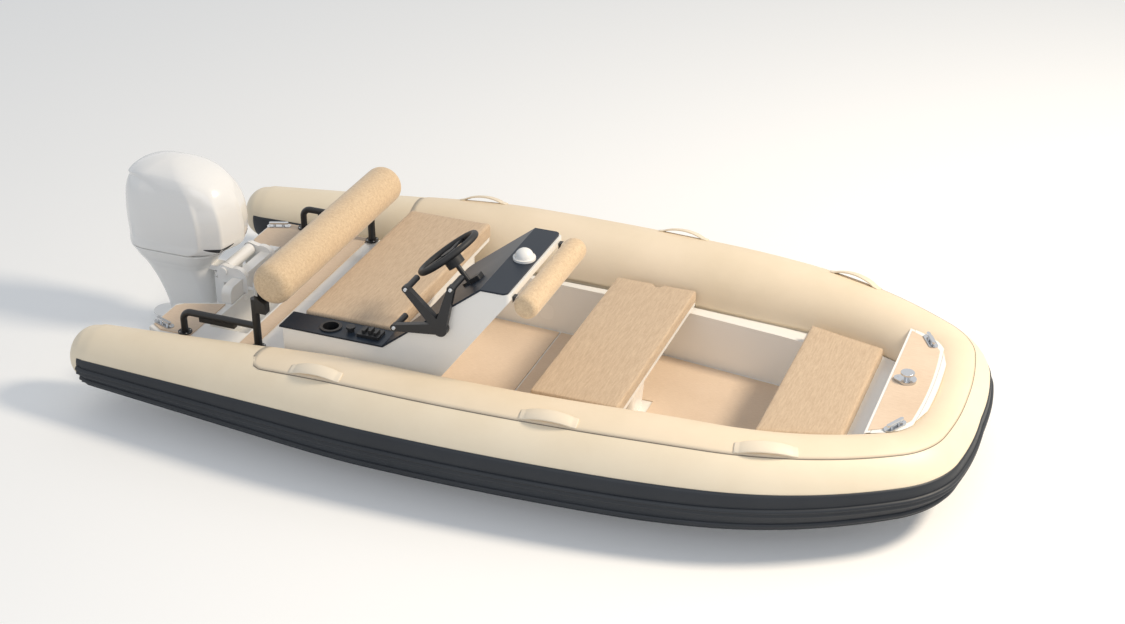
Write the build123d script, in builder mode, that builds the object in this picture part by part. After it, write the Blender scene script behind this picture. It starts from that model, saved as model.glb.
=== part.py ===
"""Inflatable rib boat with a side helm and an outboard motor, afloat and at rest.

Millimetres. +X to the bow, +Y to port, +Z up. The origin is on the waterline, on the centreline.
Every solid is one real piece. The tubes are closed air chambers and stay solid inside.
"""
from build123d import *
from math import asin, atan2, cos, degrees, radians, sin
import os

os.makedirs("parts", exist_ok=True)

# ---- tubes: plan line of the centre, one side, from the stern to the bow
stern_x = -1940            # aft end of the stern cone
stern_y = 781
beam_x = -563              # the widest place, where the side's long arc starts
beam_y = 822
side_radius = 10386
shoulder_x = 1018          # where the bow starts to turn in
shoulder_radius = 1625
shoulder_end = 33.5        # heading off the centreline at the end of that arc
corner_radius = 262        # the tight turn at each side of the blunt bow
corner_end = 78.0
# section of the tube
tube_radius = 214
stern_radius = 129
bow_radius = 138
taper_x = 841              # the tube is parallel from beam_x to here
tube_height = 266
stern_drop = 20
bow_lift = 12
end_round = 78             # rounding of each cone's end
# skins on the tube, by angle round the section: 0 outboard, 90 on top
skin_gap = 0.3
tube_gap = 1               # between the tube and the skins glued on it
wrap_thickness = 4
wrap_top = 16
wrap_bottom = -100
patch_thickness = 3
patch_outer = 61
patch_inner = 152
patch_aft = -1000
# rub strakes: angle, half height, how far it stands out, half height of its face
strake_rows = ((-9, 17, 13, 8), (-36, 17, 13, 8))
handle_x = (-660, 377, 1240)
handle_gap = 210
handle_foot = 60
handle_width = 42
handle_rise = 34
handle_strap = 5

# ---- rigid hull
keel_depth = 220
chine_depth = 40
chine_flare = 56           # how far the chine stands outside the hull side
hull_top = 250
flange = 12                # the liner's top flange, whose face is the ledge
hull_gap = 5
transom_x = -1500
transom_thickness = 50
transom_top = 380
transom_half = 250
liner_wall = 12
floor_thickness = 20
joint_gap = 0.5            # between pieces bonded or laid on each other
# half width of the cockpit well at places along it
cockpit_plan = ((-930, 575), (-450, 575), (450, 528), (1000, 460), (1120, 440))
cockpit_aft = cockpit_plan[0][0]
cockpit_fore = cockpit_plan[-1][0]

# ---- seats
cushion_thickness = 60
board_thickness = 18
mid_x0 = 175
mid_x1 = 577
mid_half = 553
mid_top = 368
pedestal_half = 105
notch_radius = 26
seat_x0 = -907
seat_x1 = -477
seat_port = 577
seat_top = 520
seat_cushion = 75
seat_wall = 15
bow_x0 = 1140
bow_x1 = 1500
bow_half_aft = 477
bow_half_fore = 385
bow_top = 345

# ---- bow deck
deck_x0 = 1594
deck_x1 = 1806
deck_half = 512
deck_half_fore = 372
deck_top = 425
deck_rim = 22
pad_thickness = 6

# ---- stern deck
stern_deck_x0 = -1695
stern_deck_x1 = -940
stern_deck_half = 600
stern_deck_top = 305
well_floor = 150
well_half = 470
well_x1 = -1240
notch_aft_half = 335       # the gap for the motor, at the aft edge
notch_fore_half = 255

# ---- helm
arm_x0 = -957
arm_top = 505
arm_outer = 650            # starboard face of the console
arm_width = 124
slope_x0 = -461
slope_x1 = 5
dash_top = 870
dash_x1 = 124
dash_aft = -312            # the sloping face widens to the dash's width from here on
dash_port = 52             # the dash's port end is this far to starboard of the centreline
console_skin = 8
wheel_y = -400
wheel_stand = 157          # wheel centre over the sloping face
wheel_radius = 140         # to the middle of the rim
rim_radius = 15
bolster_radius = 58

# ---- stern fittings
roll_x = -1035
roll_z = 640
roll_radius = 95
roll_half = 570
rail_inset = 32            # from the stern deck's edge to the rails
rail_y = stern_deck_half - rail_inset
rail_radius = 16
rail_x0 = -1504
rail_x1 = -1124
rail_top = 421
post_top = 562

# ---- outboard motor
tilt_x = -1548
tilt_z = 405
pin_radius = 14
pin_play = 0.05
bracket_half = 125         # centre of each clamp arm
arm_thick = 26
swivel_play = 6
steer_x = -1645
steer_radius = 22
gear_z = -235
gear_radius = 47
prop_radius = 140
prop_x = -2085
shaft_radius = 9
plate_z = -70
splash_z = 34

# tube line worked out: heading at each arc's end and where each arc ends
side_h0 = -atan2(beam_y - stern_y, beam_x - stern_x)
side_h1 = asin((shoulder_x - beam_x) / side_radius + sin(side_h0))


def arc_end(point, radius, h0, h1):
    """End of an arc that turns in from heading h0 to h1, in radians off the centreline."""
    return (point[0] + radius * (sin(h1) - sin(h0)), point[1] - radius * (cos(h0) - cos(h1)))


stern_point = (stern_x, stern_y)
beam_point = (beam_x, beam_y)
side_point = arc_end(beam_point, side_radius, side_h0, side_h1)
shoulder_point = arc_end(side_point, shoulder_radius, side_h1, radians(shoulder_end))
corner_point = arc_end(shoulder_point, corner_radius, radians(shoulder_end), radians(corner_end))
front_radius = corner_point[1] / cos(radians(corner_end))
tip_x = corner_point[0] + front_radius * (1 - sin(radians(corner_end)))

# stretches of one side from the stern: start, radius (0 is straight), headings, sections in it
stretches = (
    (stern_point, 0, side_h0, side_h0, 1),
    (beam_point, side_radius, side_h0, side_h1, 4),
    (side_point, shoulder_radius, side_h1, radians(shoulder_end), 5),
    (shoulder_point, corner_radius, radians(shoulder_end), radians(corner_end), 6),
    (corner_point, front_radius, radians(corner_end), radians(90), 2),
)
bow_run = (shoulder_radius * (radians(shoulder_end) - side_h1)
           + corner_radius * radians(corner_end - shoulder_end)
           + front_radius * radians(90 - corner_end))


def tube_size(x, from_shoulder):
    """Radius and height of the tube at x, or at a run past the shoulder point."""
    if x < beam_x:
        share = (beam_x - x) / (beam_x - stern_x)
        return (tube_radius + (stern_radius - tube_radius) * share, tube_height - stern_drop * share)
    lead = shoulder_x - taper_x
    share = max(0, (x - taper_x if x < shoulder_x else lead + from_shoulder) / (lead + bow_run))
    return (tube_radius + (bow_radius - tube_radius) * share, tube_height + bow_lift * share)


def side_stations():
    """Sections of one side from the stern to the tip: x, y, heading, radius, height."""
    rows = []
    run = 0
    for start, radius, h0, h1, count in stretches:
        for i in range(count):
            share = i / count
            if radius:
                x, y = arc_end(start, radius, h0, h0 + (h1 - h0) * share)
            else:
                x = start[0] + (beam_x - stern_x) * share
                y = start[1] + (beam_y - stern_y) * share
            size = tube_size(x, run + radius * (h1 - h0) * share)
            rows.append((x, y, h0 + (h1 - h0) * share, *size))
        if start[0] >= shoulder_x - 1:
            run += radius * (h1 - h0)
    rows.append((tip_x, 0, radians(90), bow_radius, tube_height + bow_lift))
    return rows


side_rows = side_stations()


def tube_plane(row, side=1):
    """Upright section plane, x outboard and y up. side is 1 to port and -1 to starboard."""
    x, y, heading, radius, height = row
    outward = (sin(heading), side * cos(heading), 0)
    return Plane(origin=(x, side * y, height), x_dir=outward, z_dir=(cos(heading) * side, -sin(heading), 0))


def all_planes(rows):
    """Section planes and radii right round the boat, port stern to starboard stern."""
    port = [(tube_plane(row), row[3]) for row in rows]
    starboard = [(tube_plane(row, -1), row[3]) for row in reversed(rows[:-1])]
    return port + starboard


def row_at(x):
    """Section of the port tube where its centre passes x."""
    run = 0
    for start, radius, h0, h1, _ in stretches:
        fore = arc_end(start, radius, h0, h1)[0] if radius else beam_x
        if x <= fore:
            break
        if start[0] >= shoulder_x - 1:
            run += radius * (h1 - h0)
    if not radius:
        share = (x - stern_x) / (beam_x - stern_x)
        return (x, stern_y + (beam_y - stern_y) * share, h0, *tube_size(x, 0))
    heading = asin((x - start[0]) / radius + sin(h0))
    _, y = arc_end(start, radius, h0, heading)
    return (x, y, heading, *tube_size(x, run + radius * (heading - h0)))


def inner_edge(x, gap=0):
    """Half width between the tubes at x and at the height of their centres, less a gap to the tubes."""
    edge = [(px - sin(heading) * (radius + gap), y - cos(heading) * (radius + gap))
            for px, y, heading, radius, _ in side_rows]
    for (x0, y0), (x1, y1) in zip(edge, edge[1:]):
        if x <= x1:
            return y0 + (y1 - y0) * (x - x0) / (x1 - x0)


def band_face(radius, inner, outer, a0, a1):
    """Sector of a ring on the current sketch, from angle a0 to a1 round the section."""
    with BuildLine() as sector:
        CenterArc((0, 0), radius + outer, a0, a1 - a0)
        CenterArc((0, 0), radius + inner, a0, a1 - a0)
        for a in (a0, a1):
            Line(((radius + inner) * cos(radians(a)), (radius + inner) * sin(radians(a))),
                 ((radius + outer) * cos(radians(a)), (radius + outer) * sin(radians(a))))
    make_face(sector.edges())


# a solid of revolution built up from its place, or hung down from it
upward = (Align.CENTER, Align.CENTER, Align.MIN)
downward = (Align.CENTER, Align.CENTER, Align.MAX)


def box(x, y, z):
    """Box between two limits along each axis, in the current part."""
    with Locations(((x[0] + x[1]) / 2, (y[0] + y[1]) / 2, (z[0] + z[1]) / 2)):
        Box(x[1] - x[0], y[1] - y[0], z[1] - z[0])


def finish(name, piece):
    piece.part.label = name
    export_step(piece.part, f"parts/{name}.step")
    print(name, piece.part.is_valid, len(piece.solids()), round(piece.part.volume / 1e6, 2))


def mirrored(points):
    """Closed outline from one side's points, listed from the stern to the bow."""
    return list(points) + [(x, -y) for x, y in reversed(points)]


# ================================================================ tubes
with BuildPart() as tube:
    for plane, radius in all_planes(side_rows):
        with BuildSketch(plane):
            Circle(radius)
    loft(ruled=True)
    fillet(tube.faces().filter_by(GeomType.PLANE).edges(), radius=end_round)
finish("tube", tube)

# the same tube a little larger, to cut what is fitted round it
tube_fit = 7
with BuildPart() as tube_space:
    for plane, radius in all_planes(side_rows):
        with BuildSketch(plane):
            Circle(radius + tube_fit)
    loft(ruled=True)


def trim_aft(x):
    """Cut the current part off square at x."""
    with BuildPart(mode=Mode.PRIVATE) as aft:
        box((stern_x - 100, x), (-1500, 1500), (-500, 1000))
    add(aft.part, mode=Mode.SUBTRACT)


# the skins are lofted through the tube's own sections and stop where its rounded end starts
with BuildPart() as tube_wrap:
    for plane, radius in all_planes(side_rows):
        with BuildSketch(plane):
            band_face(radius, tube_gap, tube_gap + wrap_thickness, wrap_bottom, wrap_top)
    loft(ruled=True)
    trim_aft(stern_x + end_round)
finish("tube_wrap", tube_wrap)

strake_base = 1.6 * tube_gap + wrap_thickness
with BuildPart() as rub_strakes:
    for angle, half_base, stand, half_face in strake_rows:
        with BuildPart():
            for plane, radius in all_planes(side_rows):
                with BuildSketch(plane):
                    spread = degrees(half_base / radius)
                    band_face(radius, strake_base, strake_base + stand, angle - spread, angle + spread)
            loft(ruled=True)
    trim_aft(stern_x + end_round)
finish("rub_strakes", rub_strakes)

with BuildPart() as tube_patches:
    for plane, radius in all_planes(side_rows):
        with BuildSketch(plane):
            band_face(radius, tube_gap, tube_gap + patch_thickness, patch_outer, patch_inner)
    loft(ruled=True)
    trim_aft(patch_aft)
finish("tube_patches", tube_patches)

handle_base = 2 * tube_gap + patch_thickness
with BuildPart() as lifting_handles:
    for x in handle_x:
        for side in (1, -1):
            row = row_at(x)
            section = tube_plane(row, side)
            normal = section.x_dir * cos(radians(patch_outer)) + Vector(0, 0, 1) * sin(radians(patch_outer))
            taper = side * (row_at(x + 50)[3] - row_at(x - 50)[3]) / 100
            along = section.z_dir + normal * taper
            normal = normal - section.z_dir * taper
            foot = section.origin + normal * (row[3] + handle_base)
            with BuildSketch(Plane(origin=foot, x_dir=along, z_dir=along.cross(normal))):
                with BuildLine():
                    half = handle_gap / 2
                    end = half + handle_foot
                    root = half - 2 * handle_strap
                    top = handle_strap
                    ThreePointArc((-half, top), (0, handle_rise + top), (half, top))
                    ThreePointArc((-root, 0), (0, handle_rise), (root, 0))
                    for way in (1, -1):
                        Polyline((way * half, top), (way * end, top), (way * end, 0), (way * root, 0))
                make_face()
            extrude(amount=handle_width / 2, both=True)
finish("lifting_handles", lifting_handles)

# ================================================================ rigid hull and cockpit
# sections of the vee: x, keel, chine, how far the chine stands out
hull_fore = tip_x - 149.9026
hull_rows = (
    (transom_x, -keel_depth + 15, -chine_depth + 2, chine_flare - 6),
    (-600, -keel_depth, -chine_depth, chine_flare),
    (400, -keel_depth, -chine_depth, chine_flare),
    (1000, -keel_depth + 20, -chine_depth + 12, chine_flare - 6),
    (1350, -keel_depth + 100, 22, 38),
    (hull_fore - 162, -20, 84, 22),
    (hull_fore - 76, 70, 128, 8),
    (hull_fore - 36, 105, 145, 4),
    (hull_fore, 136, 160, 2),
)


def hull_side(x):
    """Half width of the hull's top at x, just clear of the tube."""
    return inner_edge(x, hull_gap)


def well_outline(grow):
    """Plan of the cockpit well, larger by a wall."""
    points = [(x, y + grow) for x, y in cockpit_plan]
    points[0] = (points[0][0] - grow, points[0][1])
    points[-1] = (points[-1][0] + grow, points[-1][1])
    return mirrored(points)


with BuildPart() as hull:
    for x, keel, chine, flare in hull_rows:
        side = hull_side(x)
        with BuildSketch(Plane(origin=(x, 0, 0), x_dir=(0, 1, 0), z_dir=(1, 0, 0))):
            with BuildLine():
                right = [(0, keel), (side + flare, chine), (side + flare, chine + 22), (side, chine + 75),
                         (side, hull_top)]
                Polyline(right + [(-y, z) for y, z in reversed(right)], close=True)
            make_face()
    loft(ruled=True)
    with BuildSketch(Plane.XY.offset(-floor_thickness - joint_gap)):
        with BuildLine():
            Polyline(well_outline(liner_wall + joint_gap), close=True)
        make_face()
    extrude(amount=hull_top + 200, mode=Mode.SUBTRACT)
    tub = (transom_x + transom_thickness - joint_gap, well_x1 + liner_wall + joint_gap)
    with BuildPart(mode=Mode.SUBTRACT):
        box(tub, (-well_half - liner_wall - joint_gap, well_half + liner_wall + joint_gap),
            (well_floor - liner_wall - joint_gap, hull_top + 1))
finish("hull", hull)

flange_x0 = stern_deck_x1 + joint_gap
flange_x1 = cockpit_fore + liner_wall
with BuildPart() as cockpit_liner:
    with BuildSketch(Plane.XY.offset(hull_top + joint_gap)):
        with BuildLine():
            rows = [(x, hull_side(x)) for x in (flange_x0, -563, 400, 1000, flange_x1)]
            Polyline(mirrored(rows), close=True)
        make_face()
    extrude(amount=flange)
    with BuildSketch(Plane.XY.offset(-floor_thickness)):
        with BuildLine():
            Polyline(well_outline(liner_wall), close=True)
        make_face()
    extrude(amount=hull_top + floor_thickness + joint_gap)
    with BuildSketch(Plane.XY):
        with BuildLine():
            Polyline(well_outline(0), close=True)
        make_face()
    extrude(amount=hull_top + 100, mode=Mode.SUBTRACT)
finish("cockpit_liner", cockpit_liner)
ledge = hull_top + joint_gap + flange

hatch_x = -108
hatch_gap = 10
floor_margin = 12
floor_pad_rows = ((seat_x1 - 10, hatch_x - hatch_gap / 2),
                  (hatch_x + hatch_gap / 2, cockpit_fore - floor_margin))
with BuildPart() as floor_pads:
    with BuildSketch(Plane.XY.offset(skin_gap)):
        with BuildLine():
            Polyline(well_outline(-floor_margin), close=True)
        make_face()
        for x0, x1 in ((-1200, floor_pad_rows[0][0]), (floor_pad_rows[0][1], floor_pad_rows[1][0]),
                       (floor_pad_rows[1][1], 1300)):
            with Locations(((x0 + x1) / 2, 0)):
                Rectangle(x1 - x0, 1300, mode=Mode.SUBTRACT)
    extrude(amount=5)
    with BuildPart(mode=Mode.SUBTRACT):
        box((mid_x0, mid_x1 - 60), (-pedestal_half - 2, pedestal_half + 2), (-1, 20))
finish("floor_pads", floor_pads)

# ================================================================ stern deck
well = (transom_x + transom_thickness + liner_wall, well_x1)
with BuildPart() as stern_deck:
    with BuildSketch(Plane.XY.offset(hull_top + joint_gap)):
        with BuildLine():
            rows = [(transom_x - 10, notch_fore_half), (stern_deck_x0, notch_aft_half),
                    (stern_deck_x0, stern_deck_half - 30), (stern_deck_x0 + 60, stern_deck_half),
                    (stern_deck_x1, stern_deck_half)]
            Polyline(mirrored(rows), close=True)
        make_face()
        inside = [v for v in vertices() if abs(v.Y) < notch_aft_half + 1]
        fillet(inside, radius=30)
    extrude(amount=stern_deck_top - hull_top - joint_gap)
    tub = (transom_x + transom_thickness, well_x1 + liner_wall)
    box(tub, (-well_half - liner_wall, well_half + liner_wall),
        (well_floor - liner_wall, stern_deck_top - 1))
    with BuildPart(mode=Mode.SUBTRACT):
        box(well, (-well_half, well_half), (well_floor, stern_deck_top + 10))
        full_height = (hull_top, stern_deck_top + 10)
        board = transom_half + joint_gap
        box((transom_x - joint_gap, tub[0] + joint_gap), (-board, board), full_height)
        box((transom_x - 80, transom_x), (-notch_fore_half, notch_fore_half), full_height)
    fillet(stern_deck.faces().sort_by(Axis.Z)[-1].outer_wire().edges(), radius=8)
finish("stern_deck", stern_deck)

with BuildPart() as transom:
    height = transom_top - hull_top - joint_gap
    with BuildSketch(Plane(origin=(transom_x, 0, hull_top + joint_gap), x_dir=(0, 1, 0), z_dir=(1, 0, 0))):
        Rectangle(2 * transom_half, height, align=(Align.CENTER, Align.MIN))
        fillet(vertices().group_by(Axis.Z)[-1], radius=40)
    extrude(amount=transom_thickness - joint_gap)
finish("transom", transom)

pad_margin = 16
with BuildPart() as stern_pads:
    with BuildSketch(Plane.XY.offset(stern_deck_top + skin_gap)):
        with BuildLine():
            rows = [(transom_x + 30, notch_fore_half + pad_margin),
                    (stern_deck_x0 + pad_margin + 30, notch_aft_half),
                    (stern_deck_x0 + pad_margin, notch_aft_half + 30),
                    (stern_deck_x0 + pad_margin, stern_deck_half - 50),
                    (stern_deck_x0 + 70, stern_deck_half - pad_margin),
                    (transom_x + 30, stern_deck_half - pad_margin)]
            Polyline(rows, close=True)
        make_face()
        mirror(about=Plane.XZ)
    extrude(amount=pad_thickness)
    box((well_x1 + 14, well_x1 + 88), (pad_margin - stern_deck_half, stern_deck_half - pad_margin),
        (stern_deck_top + skin_gap, stern_deck_top + skin_gap + pad_thickness))
finish("stern_pads", stern_pads)

cleat_length = 120
stern_cleat_at = (stern_deck_x0 + 62, stern_deck_half - 62)
bow_cleat_at = (1700, 367)


def cleat(x, y, z, turn):
    """Low pop-up cleat: a long oval plate with a raised bar on two feet."""
    plane = Plane(origin=(x, y, z), x_dir=(cos(radians(turn)), sin(radians(turn)), 0), z_dir=(0, 0, 1))
    with BuildSketch(plane) as plate:
        SlotOverall(cleat_length, 42)
    extrude(plate.sketch, amount=4)
    with BuildSketch(plane.offset(4)) as feet:
        with Locations((-22, 0), (22, 0)):
            Circle(7)
    extrude(feet.sketch, amount=12)
    with BuildSketch(plane.offset(14)) as bar:
        SlotOverall(cleat_length - 22, 15)
    extrude(bar.sketch, amount=9)


on_stern_pads = stern_deck_top + 2 * skin_gap + pad_thickness
with BuildPart() as stern_cleats:
    for side in (1, -1):
        cleat(stern_cleat_at[0], side * stern_cleat_at[1], on_stern_pads, side * 20)
finish("stern_cleats", stern_cleats)

# rails that carry the backrest: a leg, a bar and a tall post on each side
for name, side in (("stern_rail_port", 1), ("stern_rail_starboard", -1)):
    with BuildPart() as rail:
        y = side * rail_y
        foot_z = on_stern_pads
        with BuildLine() as run:
            FilletPolyline((rail_x0, y, foot_z), (rail_x0, y, rail_top), (rail_x1, y, rail_top), radius=42)
        with BuildSketch(Plane(origin=(rail_x0, y, foot_z), z_dir=(0, 0, 1))):
            Circle(rail_radius)
        sweep(path=run.wire())
        with Locations((rail_x1, y, (foot_z + post_top) / 2)):
            Cylinder(rail_radius + 2, post_top - foot_z)
        for x in (rail_x0, rail_x1):
            with Locations((x, y, foot_z + 3)):
                Cylinder(rail_radius + 16, 6)
        box((rail_x0 + 90, rail_x1 - 110), (y - 14, y + 14), (rail_top - 32, rail_top - 10))
    finish(name, rail)

with BuildPart() as roll_brackets:
    for side in (1, -1):
        y = side * (rail_y - 4)
        box((rail_x1 + 6, roll_x - 30), (y - 20, y + 20), (post_top - 66, post_top + 24))
    for side in (1, -1):
        with Locations((rail_x1, side * rail_y, roll_z)):
            Cylinder(rail_radius + 2.5, 400, mode=Mode.SUBTRACT)
    with Locations(Location((roll_x, 0, roll_z), (90, 0, 0))):
        Cylinder(roll_radius + 1, 3 * roll_half, mode=Mode.SUBTRACT)
finish("roll_brackets", roll_brackets)

with BuildPart() as backrest_roll:
    with Locations(Location((roll_x, 0, roll_z), (90, 0, 0))):
        Cylinder(roll_radius, 2 * roll_half)
    fillet(backrest_roll.edges().filter_by(GeomType.CIRCLE), radius=45)
finish("backrest_roll", backrest_roll)

# ================================================================ seats
arm_inner = arm_outer - arm_width
seat_board_z = seat_top - seat_cushion - board_thickness
seat_starboard = -(arm_inner - 8)
base_port = 430
with BuildPart() as helm_seat_base:
    box((seat_x0 + 2, seat_x1 - 25), (seat_starboard + 20, base_port), (joint_gap, seat_board_z - joint_gap))
    top = helm_seat_base.faces().sort_by(Axis.Z)[-1]
    offset(amount=-seat_wall, openings=top)
    fillet(helm_seat_base.edges().filter_by(Axis.Z).group_by(Axis.X)[-1], radius=10)
finish("helm_seat_base", helm_seat_base)

with BuildPart() as helm_seat_lid:
    box((seat_x0, seat_x1 - 8), (seat_starboard + 6, seat_port - 12),
        (seat_board_z, seat_board_z + board_thickness))
finish("helm_seat_lid", helm_seat_lid)

with BuildPart() as helm_seat_cushion:
    box((seat_x0, seat_x1), (seat_starboard, seat_port), (seat_top - seat_cushion + joint_gap, seat_top))
    fillet(helm_seat_cushion.edges().group_by(Axis.Z)[-1], radius=12)
finish("helm_seat_cushion", helm_seat_cushion)

mid_board_z = mid_top - cushion_thickness - board_thickness
with BuildPart() as mid_seat_pedestal:
    with BuildSketch(Plane.XY.offset(joint_gap)):
        with Locations(((mid_x0 + mid_x1 - 60) / 2, 0)):
            RectangleRounded(mid_x1 - mid_x0 - 140, 2 * pedestal_half - 40, 30)
    with BuildSketch(Plane.XY.offset(mid_board_z - joint_gap)):
        with Locations(((mid_x0 + mid_x1 - 60) / 2, 0)):
            RectangleRounded(mid_x1 - mid_x0 - 100, 2 * pedestal_half, 30)
    loft(ruled=True)
finish("mid_seat_pedestal", mid_seat_pedestal)

with BuildPart() as mid_seat_board:
    box((mid_x0 + 8, mid_x1 - 8), (-mid_half + 10, mid_half - 10),
        (mid_board_z, mid_board_z + board_thickness))
finish("mid_seat_board", mid_seat_board)

with BuildPart() as mid_seat_cushion:
    with BuildSketch(Plane.XY.offset(mid_top - cushion_thickness + joint_gap)):
        with Locations(((mid_x0 + mid_x1) / 2, 0)):
            Rectangle(mid_x1 - mid_x0, 2 * mid_half)
        with Locations(((mid_x0 + mid_x1) / 2 + 10, mid_half)):
            Circle(notch_radius, mode=Mode.SUBTRACT)
    extrude(amount=cushion_thickness - joint_gap)
finish("mid_seat_cushion", mid_seat_cushion)

bow_seat_z = bow_top - cushion_thickness
with BuildPart() as bow_seat_base:
    with BuildSketch(Plane.XY.offset(hull_top + joint_gap)):
        with BuildLine():
            rows = [(x, hull_side(x)) for x in (flange_x1 + joint_gap, *(row[0] for row in hull_rows[4:]))]
            Polyline(mirrored(rows), close=True)
        make_face()
    extrude(amount=bow_seat_z - hull_top - 2 * joint_gap)
finish("bow_seat_base", bow_seat_base)

with BuildPart() as bow_seat_cushion:
    with BuildSketch(Plane.XY.offset(bow_seat_z)):
        with BuildLine():
            Polyline(mirrored(((bow_x0, bow_half_aft), (bow_x1, bow_half_fore))), close=True)
        make_face()
    extrude(amount=cushion_thickness)
    fillet(bow_seat_cushion.edges().group_by(Axis.Z)[-1], radius=10)
finish("bow_seat_cushion", bow_seat_cushion)

# ================================================================ bow deck
with BuildPart() as bow_deck:
    with BuildSketch(Plane.XY.offset(bow_seat_z)) as deck_plan:
        with BuildLine():
            Line((deck_x0, deck_half), (deck_x0, -deck_half))
            for side in (1, -1):
                Line((deck_x0, side * deck_half), (deck_x1 - 20, side * deck_half_fore))
            ThreePointArc((deck_x1 - 20, deck_half_fore), (deck_x1, 0), (deck_x1 - 20, -deck_half_fore))
        make_face()
        fillet([v for v in vertices() if v.X > deck_x1 - 25], radius=90)
    extrude(amount=deck_top - bow_seat_z)
    with BuildSketch(Plane.XY.offset(deck_top - 4)):
        add(deck_plan.sketch.moved(Location((0, 0, deck_top - 4 - bow_seat_z))))
        offset(amount=-deck_rim)
    extrude(amount=20, mode=Mode.SUBTRACT)
    add(tube_space.part, mode=Mode.SUBTRACT)
    add(bow_deck.solids().sort_by(SortBy.VOLUME)[-1], mode=Mode.REPLACE)
finish("bow_deck", bow_deck)

deck_pad_z = deck_top - 4
with BuildPart() as bow_deck_pad:
    with BuildSketch(Plane.XY.offset(deck_pad_z + skin_gap)):
        add(deck_plan.sketch.moved(Location((0, 0, deck_pad_z + skin_gap - bow_seat_z))))
        offset(amount=-deck_rim - 2)
    extrude(amount=pad_thickness)
    add(tube_space.part, mode=Mode.SUBTRACT)
    add(bow_deck_pad.solids().sort_by(SortBy.VOLUME)[-1], mode=Mode.REPLACE)
finish("bow_deck_pad", bow_deck_pad)

fitting_z = deck_pad_z + 2 * skin_gap + pad_thickness
with BuildPart() as bow_cleats:
    for side in (1, -1):
        cleat(bow_cleat_at[0], side * bow_cleat_at[1], fitting_z, side * -62)
finish("bow_cleats", bow_cleats)

# pear-shaped plate with a capped post, for the bow line
fitting_x = 1672
with BuildPart() as bow_fitting:
    with BuildSketch(Plane.XY.offset(fitting_z)):
        with Locations((fitting_x, 0)):
            Circle(40)
        with Locations((fitting_x - 34, 0)):
            Circle(22)
        make_hull()
    extrude(amount=12)
    with Locations((fitting_x, 0, fitting_z + 24)):
        Cylinder(14, 28)
    with Locations((fitting_x, 0, fitting_z + 40)):
        Cylinder(30, 9)
    fillet(bow_fitting.edges().group_by(Axis.Z)[-1], radius=3)
finish("bow_fitting", bow_fitting)

# ================================================================ helm console
slope_angle = degrees(atan2(dash_top - arm_top, slope_x1 - slope_x0))
slope_rise = (dash_top - arm_top) / (slope_x1 - slope_x0)
top_line = ((arm_x0, arm_top), (slope_x0, arm_top), (slope_x1, dash_top), (dash_x1, dash_top))
lip = 10                   # the white body shows this far ahead of the black top


dash_corner = 24


def console_plan(grow, front):
    """Plan of the console: a narrow arm along the side that widens to the dash."""
    with BuildSketch() as plan:
        with BuildLine():
            Polyline((arm_x0 - 1, -arm_outer - grow), (arm_x0 - 1, -arm_inner + grow),
                     (dash_aft - grow, -arm_inner + grow), (dash_aft - grow, -dash_port + grow),
                     (front, -dash_port + grow), (front, -arm_outer - grow), close=True)
        make_face()
        turns = plan.vertices().sort_by_distance((dash_aft, -arm_inner))
        fillet(turns[0], radius=110)
        fillet(plan.vertices().sort_by_distance((dash_aft, -dash_port))[0], radius=28)
        fillet(plan.vertices().group_by(Axis.X)[-1], radius=dash_corner)
    return plan.sketch


def lower(points, drop):
    """Points of the console's top line let down by a skin's thickness square to each run."""
    shift = drop * (1 - cos(radians(slope_angle))) / sin(radians(slope_angle))
    (x0, z0), (x1, z1), (x2, z2), (x3, z3) = points
    return ((x0, z0 - drop), (x1 + shift, z1 - drop), (x2 + shift, z2 - drop), (x3, z3 - drop))


cup_x = -738
cup_radius = 40
cup_depth = 72
arm_y = -(arm_outer + arm_inner) / 2
with BuildPart() as console_body:
    under = lower(top_line, console_skin + joint_gap)
    with BuildSketch(Plane.XZ.offset(0)):
        with BuildLine():
            Polyline((under[0][0] + 14, under[0][1]), under[1], under[2], (dash_x1 + lip, under[3][1]),
                     (dash_x1 + lip + 3, under[3][1] - 24), (-497, joint_gap), (cockpit_aft + 4, joint_gap),
                     (cockpit_aft + 4, stern_deck_top + 8), (under[0][0] + 14, stern_deck_top + 8),
                     close=True)
        make_face()
    extrude(amount=arm_outer)
    extrude(console_plan(0, dash_x1 + lip + 3), amount=1000, mode=Mode.INTERSECT)
    with BuildSketch(Plane.XY.offset(-10)):
        Rectangle(3000, 2000)
        with BuildLine():
            Polyline(well_outline(-joint_gap), close=True)
        make_face(mode=Mode.SUBTRACT)
    extrude(amount=ledge + joint_gap + 10, mode=Mode.SUBTRACT)
    add(tube_space.part, mode=Mode.SUBTRACT)
    with Locations((cup_x, arm_y, arm_top)):
        Cylinder(cup_radius, 2 * cup_depth, mode=Mode.SUBTRACT)
finish("console_body", console_body)

with BuildPart() as console_top:
    with BuildSketch(Plane.XZ.offset(0)):
        with BuildLine():
            Polyline(list(top_line) + list(reversed(lower(top_line, console_skin))), close=True)
        make_face()
    extrude(amount=arm_outer + 6)
    extrude(console_plan(5, dash_x1), amount=1000, mode=Mode.INTERSECT)
    with Locations((cup_x, arm_y, arm_top)):
        Cylinder(cup_radius, 60, mode=Mode.SUBTRACT)
finish("console_top", console_top)

with BuildPart() as cup_holder:
    with Locations((cup_x, arm_y, arm_top + 3 + skin_gap)):
        Cylinder(cup_radius + 9, 6)
    with Locations((cup_x, arm_y, arm_top + 3)):
        Cylinder(cup_radius - 1, cup_depth - 1, align=downward)
    with Locations((cup_x, arm_y, arm_top + 10)):
        Cylinder(cup_radius - 4, cup_depth + 2, align=downward, mode=Mode.SUBTRACT)
finish("cup_holder", cup_holder)

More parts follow.
